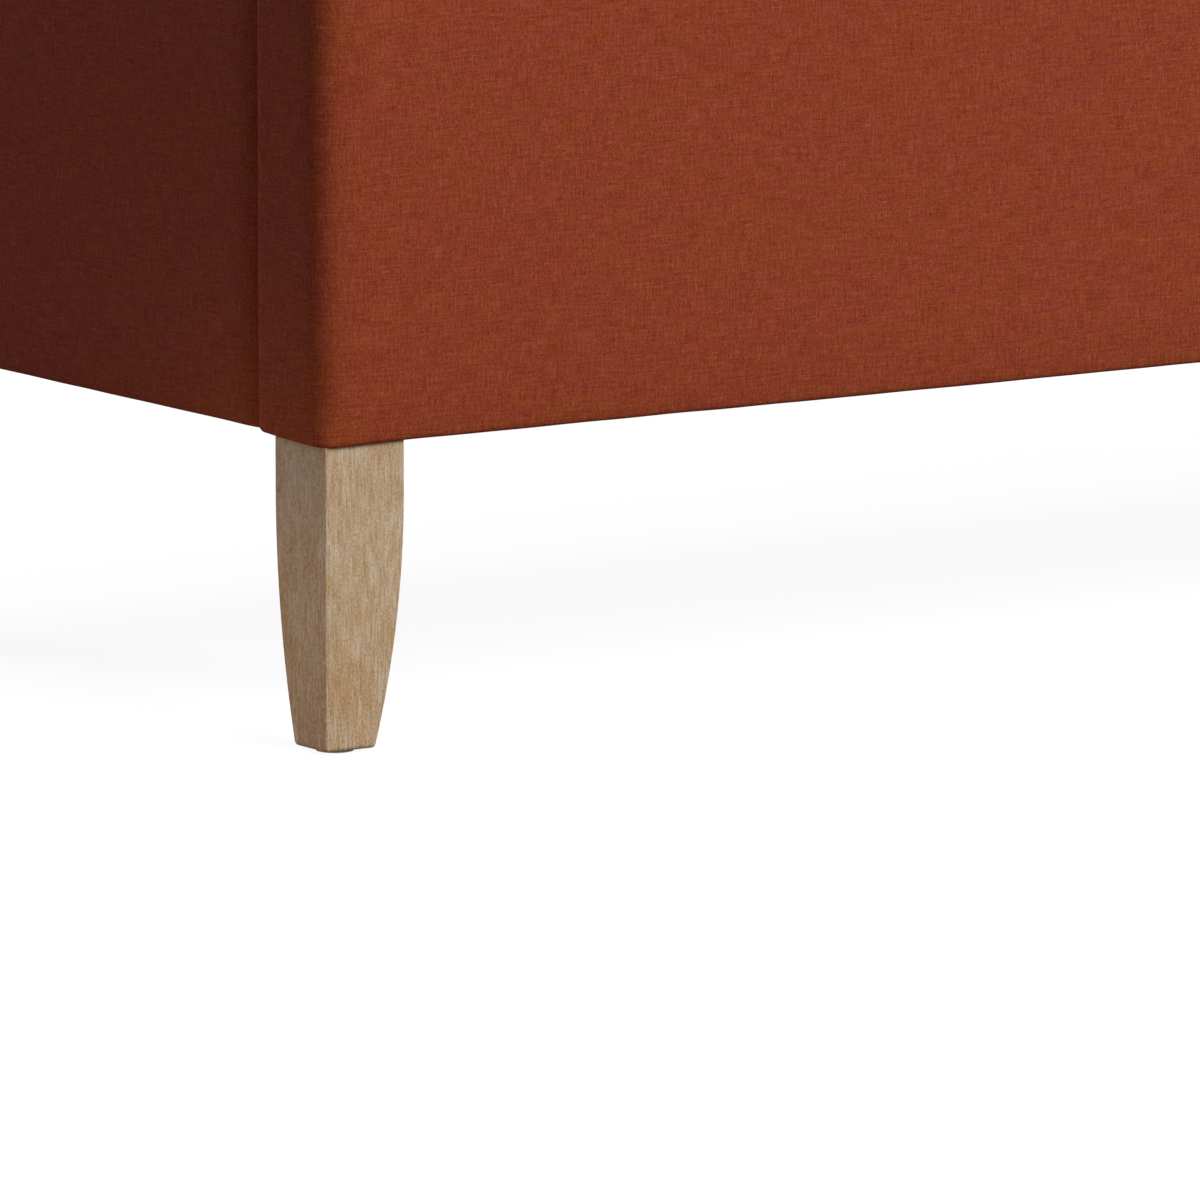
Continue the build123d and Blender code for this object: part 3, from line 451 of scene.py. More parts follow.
def swell(piece, hold, cap):
    """Blow the cloth out over its padding by simulation, by at most the cap.

    hold gives each point a weight: 1 is tacked down, 0 is free."""
    start = points_of(piece)
    group = piece.vertex_groups.new(name="hold")
    for index, weight in enumerate(hold):
        group.add([index], float(weight), "REPLACE")
    modifier = piece.modifiers.new("cloth", "CLOTH")
    cloth = modifier.settings
    cloth.quality = 5
    cloth.mass = 0.3
    cloth.tension_stiffness = 15
    cloth.compression_stiffness = 15
    cloth.shear_stiffness = 5
    cloth.bending_stiffness = 0.5
    cloth.use_pressure = True
    cloth.uniform_pressure_force = CLOTH_PRESSURE
    cloth.effector_weights.gravity = 0
    cloth.vertex_group_mass = "hold"
    modifier.collision_settings.use_collision = False
    modifier.point_cache.frame_start = 1
    modifier.point_cache.frame_end = CLOTH_FRAMES
    for number in range(1, CLOTH_FRAMES + 1):
        SCENE.frame_set(number)
    graph = bpy.context.evaluated_depsgraph_get()
    evaluated = piece.evaluated_get(graph)
    moved = np.zeros(len(start) * 3)
    evaluated.data.vertices.foreach_get("co", moved)
    shift = moved.reshape(-1, 3) - start
    piece.modifiers.remove(modifier)
    piece.vertex_groups.remove(group)
    SCENE.frame_set(1)
    length = np.linalg.norm(shift, axis=1)
    kept = cap * np.tanh(length / cap) / np.maximum(length, 1e-9)
    set_points(piece, start + shift * kept[:, None])


def spaced(start, end, step):
    """Evenly spaced values from start to end, about one step apart."""
    count = max(1, round(abs(end - start) / step))
    return np.linspace(start, end, count + 1)


def border_of(columns, rows):
    """The numbers of a grid's border points, once round."""
    loop = list(range(columns))
    loop += [r * columns + columns - 1 for r in range(1, rows)]
    loop += [(rows - 1) * columns + c for c in range(columns - 2, -1, -1)]
    loop += [r * columns for r in range(rows - 2, 0, -1)]
    return loop


# ================================================================ stitches and staples
def surface_of(piece):
    """The piece's faces, ready for finding points on them."""
    mesh = piece.data
    return BVHTree.FromPolygons(
        [v.co for v in mesh.vertices], [tuple(p.vertices) for p in mesh.polygons]
    )


def walk(corners, pitch, closed=True):
    """Evenly spaced places along a path of points, with the path's direction at each."""
    path = [Vector(c) for c in corners]
    if closed:
        path.append(path[0])
    lengths = [(b - a).length for a, b in zip(path, path[1:])]
    total = sum(lengths)
    count = max(1, round(total / pitch))
    stops = []
    leg, passed = 0, 0.0
    for number in range(count):
        distance = (number + 0.5) * total / count
        while distance > passed + lengths[leg]:
            passed += lengths[leg]
            leg += 1
        share = (distance - passed) / lengths[leg]
        direction = (path[leg + 1] - path[leg]).normalized()
        stops.append((path[leg].lerp(path[leg + 1], share), direction))
    return stops


def fasten(name, piece, stops, inward, length, radius, rise, material, body):
    """Small bent bars laid on a piece: stitches or staples, each dipping in at its ends.

    inward gives, for a place, the direction in which to look for the surface."""
    surface = surface_of(piece)
    ring, stations = 6, 5
    vertices, faces = [], []
    for place, direction in stops:
        look = Vector(inward(place))
        hit, normal, _, _ = surface.ray_cast(place - look * 40 * MM, look)
        if hit is None:
            continue
        normal = -normal if normal.dot(look) > 0 else normal
        direction = (direction - normal * direction.dot(normal)).normalized()
        side = normal.cross(direction)
        base = len(vertices)
        for station in range(stations):
            share = station / (stations - 1)
            lift = rise * math.sin(math.pi * share) ** 0.5 - 0.6 * radius
            thin = radius * (0.75 + 0.25 * math.sin(math.pi * share))
            centre = hit + direction * (share - 0.5) * length + normal * lift
            for turn in range(ring):
                angle = math.tau * turn / ring
                spoke = side * math.cos(angle) + normal * math.sin(angle)
                vertices.append(centre + spoke * thin)
        for station in range(stations - 1):
            for turn in range(ring):
                here = base + station * ring + turn
                after = base + station * ring + (turn + 1) % ring
                faces.append((here, after, after + ring, here + ring))
        faces.append(tuple(base + turn for turn in reversed(range(ring))))
        end = base + (stations - 1) * ring
        faces.append(tuple(end + turn for turn in range(ring)))
    fastening = make_object(name, vertices, faces, None, material)
    smooth(fastening)
    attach(fastening, body)


# ================================================================ padded panels
LINING_DEPTH = 0.5 * MM  # how far a padded panel's inner face lies behind its CAD face
CORNER_RADIUS = 14.5 * MM  # of the box's and the lid's upright edges
PANEL_RIM = 4.5 * MM  # radius of a panel's upper edges
FOOT_RIM = 3.2 * MM  # radius of a panel's lower edges
FOOT_SAG = 0.5 * MM  # the cloth bulges down this far past the frame
PANEL_STEP = 9 * MM  # spacing of a panel's grid
RETURN_EDGE = 3 * MM  # radius of the wrapped return's edge beside the seam
END_OUTER_EDGE = 9 * MM
END_INNER_EDGE = 2 * MM
SEAM_TUCK = 3.8 * MM  # the return's edge is pulled this far into the seam
RETURN_LIFT = 0.9 * MM  # and its foot rises this much beside it
SEAM_GROOVE = 5.2 * MM  # the end panel's cloth dips this far beside the seam
ARRIS_SAG = 1.2 * MM  # the lower corner of the box hangs this far down
ARRIS_BULGE = 1.9 * MM  # and its foot stands this far out on either side


def plan_outline(low, high, radii, step, arc_parts):
    """Anticlockwise plan outline of a rounded rectangle, starting mid-way along its back.

    radii are those of the four corners, from the one after the start. Returns the points, their
    outward directions and the distance along the outline, which has one value more."""
    corners = [(low[0], high[1]), (low[0], low[1]), (high[0], low[1]), (high[0], high[1])]
    points, normals = [], []
    middle = ((low[0] + high[0]) / 2, high[1])
    previous = middle
    for index, (corner, radius) in enumerate(zip(corners, radii)):
        centre_x = corner[0] + radius * (1 if corner[0] == low[0] else -1)
        centre_y = corner[1] + radius * (1 if corner[1] == low[1] else -1)
        start_angle = math.pi / 2 * (index + 1)
        normal = (math.cos(start_angle), math.sin(start_angle))
        entry = (centre_x + radius * normal[0], centre_y + radius * normal[1])
        run = math.dist(previous, entry)
        for share in spaced(0, 1, step / run)[:-1]:
            x = previous[0] + (entry[0] - previous[0]) * share
            y = previous[1] + (entry[1] - previous[1]) * share
            points.append((x, y))
            normals.append(normal)
        for part in range(arc_parts + 1):
            angle = start_angle + math.pi / 2 * part / arc_parts
            normal = (math.cos(angle), math.sin(angle))
            points.append((centre_x + radius * normal[0], centre_y + radius * normal[1]))
            normals.append(normal)
        points.pop()
        normals.pop()
        previous = (centre_x + radius * normal[0], centre_y + radius * normal[1])
    run = math.dist(previous, middle)
    for share in spaced(0, 1, step / run)[:-1]:
        x = previous[0] + (middle[0] - previous[0]) * share
        points.append((x, previous[1]))
        normals.append((0.0, 1.0))
    points = np.array(points)
    steps = np.linalg.norm(np.roll(points, -1, axis=0) - points, axis=1)
    return points, np.array(normals), np.concatenate([[0], np.cumsum(steps)])


def rim_profile(bottom, top, reach, foot_radius, radius, step, arc_parts):
    """Section through a padded wall, from under it to over it, as (inset, height) points."""
    section = [(inset, bottom) for inset in spaced(reach, foot_radius, step)]
    for part in range(1, arc_parts + 1):
        angle = math.pi / 2 * part / arc_parts
        inset = foot_radius * (1 - math.sin(angle))
        section.append((inset, bottom + foot_radius * (1 - math.cos(angle))))
    section += [(0.0, height) for height in spaced(bottom + foot_radius, top - radius, step)[1:]]
    for part in range(1, arc_parts + 1):
        angle = math.pi / 2 * part / arc_parts
        section.append((radius * (1 - math.cos(angle)), top - radius * (1 - math.sin(angle))))
    section += [(inset, top) for inset in spaced(radius, reach, step)[1:]]
    section = np.array(section)
    lengths = np.linalg.norm(np.diff(section, axis=0), axis=1)
    return section, np.concatenate([[0], np.cumsum(lengths)])


def ring_faces(rows, columns, along, up):
    """Quads between rows of points that close on themselves, with their UVs."""
    faces, uvs = [], []
    for row in range(rows - 1):
        for column in range(columns):
            after = (column + 1) % columns
            faces.append(
                (
                    row * columns + column,
                    row * columns + after,
                    (row + 1) * columns + after,
                    (row + 1) * columns + column,
                )
            )
            uvs += [
                (along[column], up[row]),
                (along[column + 1], up[row]),
                (along[column + 1], up[row + 1]),
                (along[column], up[row + 1]),
            ]
    return faces, uvs


def padded_panel(name, low, high, radii, turned):
    """A closed padded panel: its plan outline carried up a rounded section.

    turned is how the panel is turned in plan from one whose inside faces +Y."""
    turn = Matrix.Rotation(turned, 3, "Z")
    back = turn.inverted()
    first, second = back @ Vector(low), back @ Vector(high)
    plan_low = (min(first.x, second.x), min(first.y, second.y))
    plan_high = (max(first.x, second.x), max(first.y, second.y))
    points, normals, along = plan_outline(plan_low, plan_high, radii, PANEL_STEP, 4)
    reach = (plan_high[1] - plan_low[1]) / 2
    section, up = rim_profile(low[2], high[2], reach, FOOT_RIM, PANEL_RIM, PANEL_STEP, 3)
    vertices = []
    for inset, height in section:
        moved = points - inset * normals
        moved = np.clip(moved, np.add(plan_low, inset), np.subtract(plan_high, inset))
        vertices += [turn @ Vector((x, y, height)) for x, y in moved]
    faces, uvs = ring_faces(len(section), len(points), along, up)
    piece = make_object(name, vertices, faces, uvs, RUST)
    clean(piece)
    return piece


def ease(distance, reach):
    """1 at no distance, falling smoothly to 0 at the reach."""
    share = np.clip(1 - np.asarray(distance) / reach, 0, 1)
    return share * share * (3 - 2 * share)


def to_edge(points, low, high, axis):
    """Each point's distance from the nearer of two planes across an axis."""
    return np.minimum(points[:, axis] - low[axis], high[axis] - points[:, axis])


def long_panel(name, side):
    """The front or back panel: one cloth wrapped round the ends, top and bottom."""
    low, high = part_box(f"{name}_cover")
    low, high = low.copy(), high.copy()
    if side < 0:
        high.y -= LINING_DEPTH
    else:
        low.y += LINING_DEPTH
    low.z -= FOOT_SAG
    radii = (RETURN_EDGE, CORNER_RADIUS, CORNER_RADIUS, RETURN_EDGE)
    piece = padded_panel(f"{name}_panel", low, high, radii, 0 if side < 0 else math.pi)
    points = points_of(piece)
    outer = low.y if side < 0 else high.y
    inner = high.y if side < 0 else low.y
    depth = np.abs(points[:, 1] - outer)
    edge = to_edge(points, low, high, 2)
    end = to_edge(points, low, high, 0)
    hold = np.maximum(depth / (18 * MM), 1 - edge / (16 * MM))
    hold = np.maximum(hold, 1 - end / (20 * MM))
    swell(piece, np.clip(hold, 0, 1), 1.4 * MM)

    points, normals = points_of(piece), normals_of(piece)
    outside = ease(np.abs(points[:, 1] - outer), 20 * MM)
    relief = 0.35 * MM * wave(points, 0.16, 1 + side) * outside
    tug = wave(points * np.array([1, 1, 0.35]), 0.035, 5 + side)
    relief += 0.3 * MM * tug * outside * ease(to_edge(points, low, high, 2), 30 * MM)
    above = points[:, 2] - low.z
    points += normals * relief[:, None]
    from_back = np.abs(points[:, 1] - inner)
    end = to_edge(points, low, high, 0)
    lift = ease(from_back, 9 * MM) * ease(above, 45 * MM) * ease(end, 30 * MM)
    points[:, 2] += RETURN_LIFT * lift
    points[:, 1] -= side * SEAM_TUCK * ease(from_back, 9 * MM) * ease(end, 8 * MM)
    arris = np.hypot(points[:, 0] - np.sign(points[:, 0]) * high.x, points[:, 1] - outer)
    points[:, 2] -= ARRIS_SAG * ease(arris, 50 * MM) * ease(above, 9 * MM)
    bulge = ARRIS_BULGE * ease(np.maximum(arris - 6 * MM, 0), 9 * MM) * ease(above, 9 * MM)
    points[:, 0] += np.sign(points[:, 0]) * bulge
    points[:, 1] += side * bulge
    set_points(piece, points)
    subdivide(piece)
    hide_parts(f"{name}_cover", f"{name}_foam")
    return piece


def end_panel(name, side):
    """The left or right panel, tucked between the front and back panels."""
    low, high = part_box(f"{name}_cover")
    low, high = low.copy(), high.copy()
    if side < 0:
        high.x -= LINING_DEPTH
    else:
        low.x += LINING_DEPTH
    radii = (END_INNER_EDGE, END_OUTER_EDGE, END_OUTER_EDGE, END_INNER_EDGE)
    turned = -math.pi / 2 if side < 0 else math.pi / 2
    piece = padded_panel(f"{name}_panel", low, high, radii, turned)
    points = points_of(piece)
    outer = low.x if side < 0 else high.x
    depth = np.abs(points[:, 0] - outer)
    edge = np.minimum(to_edge(points, low, high, 2), to_edge(points, low, high, 1))
    hold = np.maximum(depth / (12 * MM), 1 - edge / (18 * MM))
    swell(piece, np.clip(hold, 0, 1), 1.2 * MM)

    points, normals = points_of(piece), normals_of(piece)
    outside = ease(np.abs(points[:, 0] - outer), 12 * MM)
    relief = 0.3 * MM * wave(points, 0.14, 11 + side) * outside
    tug = wave(points * np.array([1, 1, 0.35]), 0.035, 15 + side)
    relief += 0.3 * MM * tug * outside * ease(to_edge(points, low, high, 2), 30 * MM)
    points += normals * relief[:, None]
    groove = SEAM_GROOVE * ease(to_edge(points, low, high, 1), 13 * MM)
    points[:, 0] -= side * groove * outside
    set_points(piece, points)
    subdivide(piece)
    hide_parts(f"{name}_cover", f"{name}_foam")
    return piece


def finish_padded(piece, body):
    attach(piece, body)


for panel, panel_side in (("front", -1), ("back", 1)):
    finish_padded(long_panel(panel, panel_side), "box")
for panel, panel_side in (("left", -1), ("right", 1)):
    finish_padded(end_panel(panel, panel_side), "box")


# ================================================================ lid cushion
LID_LOW, LID_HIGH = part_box("lid_cover")
LID_LIP = 26 * MM  # the cover turns this far under the board
LID_TURN = 5 * MM  # radius of that turn
SEAM_DROP = 9 * MM  # the seam round the top lies this far below the lid's highest point
SHOULDER_RISE = 5.5 * MM  # how far the top rises close to the seam
CROWN_RISE = 3.5 * MM  # and from there to the middle
SEAM_DENT = 1.6 * MM


def lid_grid():
    """Grid lines over the lid's top, closer together over the rounded corners."""
    lines = []
    for axis in range(2):
        low, high = LID_LOW[axis], LID_HIGH[axis]
        corner = spaced(0, CORNER_RADIUS, CORNER_RADIUS / 3)
        middle = spaced(low + CORNER_RADIUS, high - CORNER_RADIUS, 10 * MM)
        lines.append(np.concatenate([low + corner[:-1], middle, high - corner[-2::-1]]))
    return lines


def round_corner(x, y):
    """Pull a point of the square-cornered top inside the rounded corner."""
    core_x = min(max(x, LID_LOW.x + CORNER_RADIUS), LID_HIGH.x - CORNER_RADIUS)
    core_y = min(max(y, LID_LOW.y + CORNER_RADIUS), LID_HIGH.y - CORNER_RADIUS)
    away_x, away_y = x - core_x, y - core_y
    away = math.hypot(away_x, away_y)
    if away < 1e-9:
        return x, y
    reach = max(abs(away_x), abs(away_y)) / away
    return core_x + away_x * reach, core_y + away_y * reach


def lid_cushion():
    """Lid cover: a crowned top panel sewn to a border that turns under the board."""
    lines_x, lines_y = lid_grid()
    columns, rows = len(lines_x), len(lines_y)
    seam = LID_HIGH.z - SEAM_DROP
    half = np.array([LID_HIGH.x, LID_HIGH.y])
    vertices, faces, uvs = [], [], []
    for y in lines_y:
        for x in lines_x:
            px, py = round_corner(x, y)
            edge = min(half[0] - abs(px), half[1] - abs(py))
            shoulder = 1 - math.exp(-edge / (17 * MM))
            crown = (1 - (px / half[0]) ** 2) * (1 - (py / half[1]) ** 2)
            vertices.append((px, py, seam + SHOULDER_RISE * shoulder + CROWN_RISE * crown))
    for row in range(rows - 1):
        for column in range(columns - 1):
            corner = row * columns + column
            faces.append((corner, corner + 1, corner + columns + 1, corner + columns))
            uvs += [vertices[v][:2] for v in faces[-1]]

    loop = border_of(columns, rows)
    rim = np.array([vertices[v] for v in loop])
    steps = np.linalg.norm((np.roll(rim, -1, axis=0) - rim)[:, :2], axis=1)
    along = np.concatenate([[0], np.cumsum(steps)])
    core = np.clip(rim[:, :2], -half + CORNER_RADIUS, half - CORNER_RADIUS)
    outward = rim[:, :2] - core
    outward /= np.linalg.norm(outward, axis=1)[:, None]

    section = [(0.0, z) for z in spaced(seam, LID_LOW.z + LID_TURN, 9 * MM)[1:]]
    for part in range(1, 4):
        angle = math.pi / 6 * part
        inset = LID_TURN * (1 - math.cos(angle))
        section.append((inset, LID_LOW.z + LID_TURN * (1 - math.sin(angle))))
    section += [(inset, LID_LOW.z) for inset in spaced(LID_TURN, LID_LIP, 7 * MM)[1:]]
    section += [(LID_LIP, LID_LOW.z + 1.6 * MM)]
    previous, height = loop, 0.0
    last = (0.0, seam)
    for inset, z in section:
        ring = list(range(len(vertices), len(vertices) + len(loop)))
        moved = np.clip(rim[:, :2] - inset * outward, -half + inset, half - inset)
        vertices += [(x, y, z) for x, y in moved]
        length = math.dist(last, (inset, z))
        for index in range(len(loop)):
            after = (index + 1) % len(loop)
            faces.append((previous[index], ring[index], ring[after], previous[after]))
            uvs += [
                (along[index], height),
                (along[index], height - length),
                (along[index + 1], height - length),
                (along[index + 1], height),
            ]
        previous, height, last = ring, height - length, (inset, z)
    piece = make_object("lid_cushion", vertices, faces, uvs, RUST)
    smooth(piece)

    points = points_of(piece)
    flank = np.minimum(half[0] - np.abs(points[:, 0]), half[1] - np.abs(points[:, 1]))
    hold = ease(np.abs(points[:, 2] - seam), 10 * MM) * ease(flank, 8 * MM)
    hold = np.maximum(hold, 1.02 * ease(points[:, 2] - LID_LOW.z, 24 * MM))
    swell(piece, np.clip(hold, 0, 1), 4 * MM)

    points, normals = points_of(piece), normals_of(piece)
    flank = np.minimum(half[0] - np.abs(points[:, 0]), half[1] - np.abs(points[:, 1]))
    on_top = ease(seam + 1 * MM - points[:, 2], 6 * MM)
    relief = 0.9 * MM * wave(points, 0.22, 21) * on_top * (1 - ease(flank, 60 * MM))
    relief += 0.35 * MM * wave(points, 0.06, 22) * on_top * (1 - ease(flank, 15 * MM))
    pucker = wave(points * np.array([1, 1, 0.2]), 0.016, 23)
    relief += 0.28 * MM * pucker * ease(np.abs(points[:, 2] - seam), 18 * MM)
    relief += 0.3 * MM * wave(points, 0.13, 24) * (1 - on_top)
    dent = np.exp(-(((points[:, 2] - seam) / (1.4 * MM)) ** 2))
    relief -= SEAM_DENT * dent * ease(flank, 9 * MM)
    set_points(piece, points + normals * relief[:, None])
    subdivide(piece)
    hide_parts("lid_cover", "lid_foam")
    return piece


lid_piece = lid_cushion()
finish_padded(lid_piece, "lid")


def stitch_lid():
    """One row of topstitching on the border, just below the lid's seam."""
    radii = [CORNER_RADIUS] * 4
    low, high = LID_LOW[:2], LID_HIGH[:2]
    points, _, _ = plan_outline(low, high, radii, 60 * MM, 6)
    height = LID_HIGH.z - SEAM_DROP - 4.5 * MM
    stops = walk([(x, y, height) for x, y in points], 5.6 * MM)

    def inward(place):
        core_x = min(max(place.x, LID_LOW.x + CORNER_RADIUS), LID_HIGH.x - CORNER_RADIUS)
        core_y = min(max(place.y, LID_LOW.y + CORNER_RADIUS), LID_HIGH.y - CORNER_RADIUS)
        return Vector((core_x - place.x, core_y - place.y, 0)).normalized()

    fasten(
        "lid_topstitch",
        lid_piece,
        stops,
        inward,
        4.0 * MM,
        0.32 * MM,
        0.35 * MM,
        RUST_THREAD,
        "lid",
    )


stitch_lid()


# ================================================================ cloth sheets
SHEET_STEP = 12 * MM
HEM_WIDTH = 14 * MM


def cloth_sheet(name, low, high, axis, seed):
    """A thin calico sheet between two corners, flat across one axis, thicker at its hem."""
    others = [i for i in range(3) if i != axis]
    lines = [spaced(low[i], high[i], SHEET_STEP) for i in others]
    columns, rows = len(lines[0]), len(lines[1])
    base = []
    for second in lines[1]:
        for first in lines[0]:
            point = [0.0, 0.0, 0.0]
            point[others[0]], point[others[1]], point[axis] = first, second, low[axis]
            base.append(point)
    base = np.array(base)
    edge = np.min([to_edge(base, low, high, i) for i in others], axis=0)
    thick = high[axis] - low[axis]
    ripple = 0.12 * thick * wave(base, 0.03, seed)
    half = thick * (0.25 + 0.5 * ease(edge, HEM_WIDTH))
    vertices, faces = [], []
    for offset in (-half, half):
        shifted = base.copy()
        shifted[:, axis] += thick / 2 + offset + ripple
        vertices += list(shifted)
    size = len(base)
    for start, upper in ((0, False), (size, True)):
        for row in range(rows - 1):
            for column in range(columns - 1):
                corner = start + row * columns + column
                quad = [corner, corner + 1, corner + columns + 1, corner + columns]
                faces.append(quad if upper else quad[::-1])
    loop = border_of(columns, rows)
    for start, end in zip(loop, loop[1:] + loop[:1]):
        faces.append([start, end, end + size, start + size])
    uvs = [[vertices[v][i] for i in others] for face in faces for v in face]
    piece = make_object(name, vertices, faces, uvs, CALICO)
    clean(piece, 1e-7)
    subdivide(piece)
    return piece


def hung_sheet(name, node, axis, body, seed):
    """Replace a CAD lining node with a hemmed sheet."""
    low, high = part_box(node)
    piece = cloth_sheet(name, low, high, axis, seed)
    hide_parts(node)
    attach(piece, body)
    return piece


def frame_path(low, high, axis, inset, level):
    """The four corners of a rectangle inside a sheet's edges, at one level of its flat axis."""
    first, second = [i for i in range(3) if i != axis]
    corners = []
    for along, up in ((0, 0), (1, 0), (1, 1), (0, 1)):
        point = [0.0, 0.0, 0.0]
        point[axis] = level
        point[first] = high[first] - inset if along else low[first] + inset
        point[second] = high[second] - inset if up else low[second] + inset
        corners.append(point)
    return corners


def hem_stitches(name, piece, node, axis, outward):
    """A row of stitches along a wall lining's folded hem, on the side it is seen from."""
    low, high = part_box(node)
    look = Vector((0, 0, 0))
    look[axis] = -outward
    stops = walk(frame_path(low, high, axis, 9 * MM, low[axis]), 8 * MM)
    fasten(
        name,
        piece,
        stops,
        lambda place: look,
        4.2 * MM,
        0.28 * MM,
        0.3 * MM,
        CALICO_THREAD,
        "box",
    )


def staple_row(name, piece, stops, look, body):
    """Wire staples that hold a sheet to the wood behind it."""
    fasten(
        name,
        piece,
        stops,
        lambda place: Vector(look),
        10 * MM,
        0.5 * MM,
        0.55 * MM,
        SCREW_STEEL,
        body,
    )


STAPLE_PITCH = 46 * MM
for index, (panel, axis) in enumerate((("front", 1), ("back", 1), ("left", 0), ("right", 0))):
    node, rests_on = f"{panel}_lining", [f"{panel}_panel"]
    wall = hung_sheet(
        f"{panel}_wall_lining", node, axis, "box", 31 + index
    )
    inner = 1 if panel in ("front", "left") else -1
    hem_stitches(f"{panel}_wall_hem", wall, node, axis, inner)
hung_sheet("floor_lining", "base_lining", 2, "box", 41)
lid_sheet = hung_sheet(
    "lid_underside_lining", "lid_lining", 2, "lid", 43
)
lining_low, lining_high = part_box("lid_lining")
lid_staples = walk(frame_path(lining_low, lining_high, 2, 6 * MM, lining_low.z), STAPLE_PITCH)
staple_row("lid_lining_staples", lid_sheet, lid_staples, (0, 0, 1), "lid")


DUST_FREE_X = 0.49  # half size of the stretch of bottoming cloth that hangs free
DUST_FREE_Y = 0.175


def dust_sheet():
    """Black cloth under the box, notched round the legs and sagging a little."""
    low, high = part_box("dust_cover")
    _, leg_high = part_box("front_left_leg")
    notch_x, notch_y = leg_high.x + 2 * MM, leg_high.y + 2 * MM
    lines = []
    for edge, notch in ((low.x, notch_x), (low.y, notch_y)):
        steps = [(edge, notch), (notch, -notch), (-notch, -edge)]
        line = np.concatenate([spaced(start, end, SHEET_STEP) for start, end in steps])
        lines.append(np.unique(line.round(6)))
    lines_x, lines_y = lines
    vertices, faces, uvs = [], [], []
    for y in lines_y:
        for x in lines_x:
            vertices.append((x, y, (low.z + high.z) / 2))
    for row in range(len(lines_y) - 1):
        for column in range(len(lines_x) - 1):
            middle_x = (lines_x[column] + lines_x[column + 1]) / 2
            middle_y = (lines_y[row] + lines_y[row + 1]) / 2
            if abs(middle_x) > abs(notch_x) and abs(middle_y) > abs(notch_y):
                continue
            corner = row * len(lines_x) + column
            faces.append((corner, corner + 1, corner + len(lines_x) + 1, corner + len(lines_x)))
            uvs += [vertices[v][:2] for v in faces[-1]]
    piece = make_object("bottoming_cloth", vertices, faces, uvs, DUST_CLOTH)
    shape = bmesh.new()
    shape.from_mesh(piece.data)
    loose = [v for v in shape.verts if not v.link_faces]
    bmesh.ops.delete(shape, geom=loose, context="VERTS")
    shape.to_mesh(piece.data)
    shape.free()
    points = points_of(piece)
    inset = np.minimum(DUST_FREE_X - np.abs(points[:, 0]), DUST_FREE_Y - np.abs(points[:, 1]))
    sag = 1 - ease(np.clip(inset, 0, None), 90 * MM)
    points[:, 2] -= 3.5 * MM * sag * (0.8 + 0.25 * wave(points, 0.2, 50))
    points[:, 2] -= 0.35 * MM * (1 + wave(points, 0.035, 51)) * (0.3 + 0.7 * sag)
    set_points(piece, points)
    modifier = piece.modifiers.new("thickness", "SOLIDIFY")
    modifier.thickness = 0.5 * MM
    modifier.offset = 0
    apply_modifier(piece, modifier)
    subdivide(piece)
    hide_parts("dust_cover")
    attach(piece, "box")
    corner = (high.x + notch_x) * (high.y + notch_y)
    return piece


bottoming = dust_sheet()
dust_low, dust_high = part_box("dust_cover")
leg_side, leg_back = (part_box("front_left_leg")[1][i] + 8 * MM for i in range(2))
bottom_staples = []
for end in (-1, 1):
    across = end * (dust_high.x - 7 * MM)
    row = [(across, leg_back, dust_low.z), (across, -leg_back, dust_low.z)]
    bottom_staples += walk(row, STAPLE_PITCH, closed=False)
    across = end * (dust_high.y - 7 * MM)
    row = [(leg_side, across, dust_low.z), (-leg_side, across, dust_low.z)]
    bottom_staples += walk(row, STAPLE_PITCH, closed=False)
staple_row("bottoming_staples", bottoming, bottom_staples, (0, 0, 1), "box")


# ================================================================ materials of the CAD nodes
CAD_MATERIALS = {
    "frame_timber": PINE,
    "hardboard": HARDBOARD,
    "plywood": PLYWOOD,
    "leg_oak": OAK,
    "zinc_steel": ZINC,
    "screw_steel": SCREW_STEEL,
    "hinge_steel": NICKEL,
    "stay_steel": STAY_STEEL,
    "nylon": NYLON,
    "bumper_rubber": RUBBER,
}
for subpart in frame["record"]["subparts"]:
    material = CAD_MATERIALS.get(subpart["material_slot"])
    if material:
        mesh = NODES[subpart["node"]].data
        mesh.materials.clear()
        mesh.materials.append(material)


# ================================================================ stage, light and camera
def lamp(name, place, target, size, power, colour=(1.0, 1.0, 1.0)):
    """A soft area light that faces a point."""
    light = bpy.data.lights.new(name, "AREA")
    light.shape = "RECTANGLE"
    light.size, light.size_y = size
    light.energy = power
    light.color = colour
    holder = bpy.data.objects.new(name, light)
    SCENE.collection.objects.link(holder)
    holder.location = place
    holder.rotation_euler = (Vector(target) - Vector(place)).to_track_quat("-Z", "Y").to_euler()
    holder.visible_camera = False


FLOOR_HALF = 60.0
FLOOR_GAP = 0.2 * MM


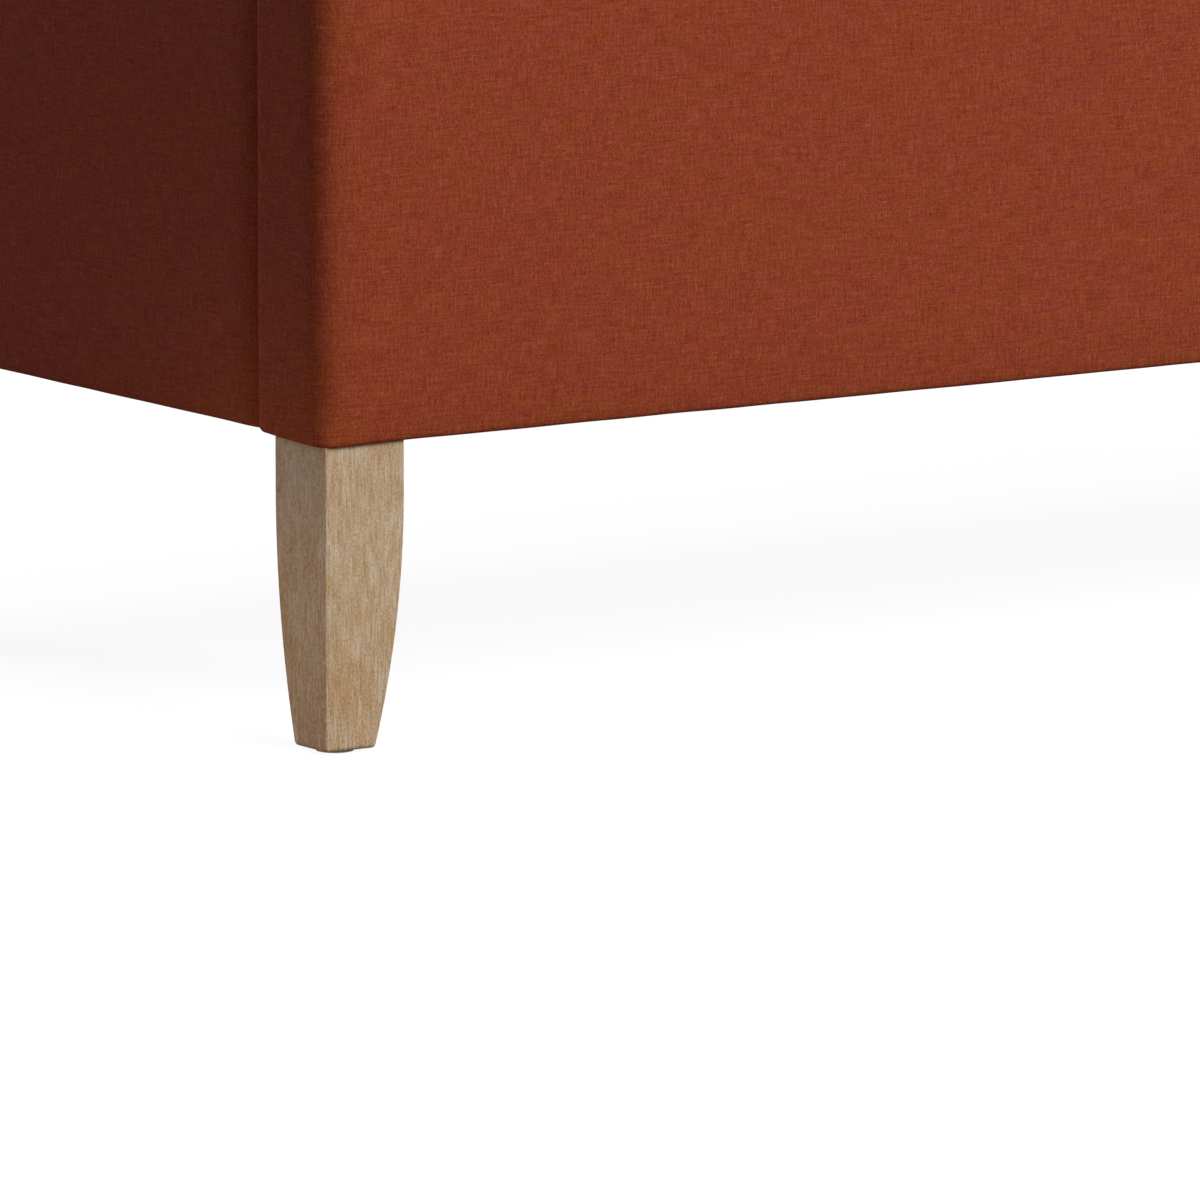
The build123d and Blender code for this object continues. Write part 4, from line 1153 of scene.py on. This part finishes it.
def make_stage():
    """A pale floor that stays nearly white, under a white surround."""
    s = Shader("pale_floor")
    grain = s.noise(s.node("TexCoord", output="Object"), scale=3.0, detail=3.0)
    colour = s.mix(grain, srgb(122, 122, 122), srgb(128, 128, 128))
    floor_material = s.surface(
        Base_Color=colour, Roughness=0.9, Emission_Color=(1, 1, 1, 1), Emission_Strength=0.9
    )
    half = FLOOR_HALF
    corners = [(-half, -half, 0), (half, -half, 0), (half, half, 0), (-half, half, 0)]
    floor = make_object("floor", corners, [(0, 1, 2, 3)], None, floor_material)
    floor.location.z = -FLOOR_GAP
    floor.visible_diffuse = False
    floor.visible_glossy = False

    world = bpy.data.worlds.new("surround")
    SCENE.world = world
    world.use_nodes = True
    nodes, links = world.node_tree.nodes, world.node_tree.links
    nodes.clear()
    output = nodes.new("ShaderNodeOutputWorld")
    seen = nodes.new("ShaderNodeBackground")
    seen.inputs["Color"].default_value = (1, 1, 1, 1)
    seen.inputs["Strength"].default_value = 1.0
    lighting = nodes.new("ShaderNodeBackground")
    lighting.inputs["Color"].default_value = (1.0, 0.98, 1.04, 1)
    lighting.inputs["Strength"].default_value = 0.18
    path = nodes.new("ShaderNodeLightPath")
    mixer = nodes.new("ShaderNodeMixShader")
    links.new(path.outputs["Is Camera Ray"], mixer.inputs[0])
    links.new(lighting.outputs[0], mixer.inputs[1])
    links.new(seen.outputs[0], mixer.inputs[2])
    links.new(mixer.outputs[0], output.inputs["Surface"])


make_stage()
lamp("key", (1.05, -3.6, 2.6), target=(0, 0, 0.25), size=(3.9, 2.2), power=206.0)
lamp("top", (0.2, 0.5, 3.2), target=(0, 0, 0.3), size=(2.5, 2.5), power=24.0)
cool = (0.98, 0.94, 1.3)
lamp("rim", (-1.6, 3.6, 1.3), target=(-0.4, 0, 0.2), size=(1.2, 1.2), power=42.0, colour=cool)
leg_low, leg_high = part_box("front_left_leg")
leg_middle = (leg_low + leg_high) / 2
kicker = Vector((leg_low.x - 0.13, leg_middle.y + 0.01, 0.055))
warm = (1.0, 0.84, 0.6)
lamp("leg_kicker", kicker, target=leg_middle, size=(0.12, 0.12), power=0.052, colour=warm)

CAMERA_AZIMUTH = math.radians(-33.624)
CAMERA_ELEVATION = math.radians(9.067)
CAMERA_DISTANCE = 6.661
CAMERA_LENS = 420.0
AIM_RIGHT = 0.132  # how far the camera aims to the right of the box's lower front-left corner
AIM_DOWN = 0.0724  # and how far below it

cover_low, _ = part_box("front_cover")
from_aim = Vector(
    (
        math.sin(CAMERA_AZIMUTH) * math.cos(CAMERA_ELEVATION),
        -math.cos(CAMERA_AZIMUTH) * math.cos(CAMERA_ELEVATION),
        math.sin(CAMERA_ELEVATION),
    )
)
to_right = Vector((math.cos(CAMERA_AZIMUTH), math.sin(CAMERA_AZIMUTH), 0))
upward = from_aim.cross(to_right)
camera_data = bpy.data.cameras.new("camera")
camera_data.sensor_width = 36.0
camera_data.lens = CAMERA_LENS
camera_data.clip_end = 200.0
camera = bpy.data.objects.new("camera", camera_data)
SCENE.collection.objects.link(camera)
aim = cover_low + AIM_RIGHT * to_right - AIM_DOWN * upward
camera.location = aim + CAMERA_DISTANCE * from_aim
camera.rotation_euler = Matrix((to_right, upward, from_aim)).transposed().to_euler()
SCENE.camera = camera
SCENE.view_settings.view_transform = "Standard"
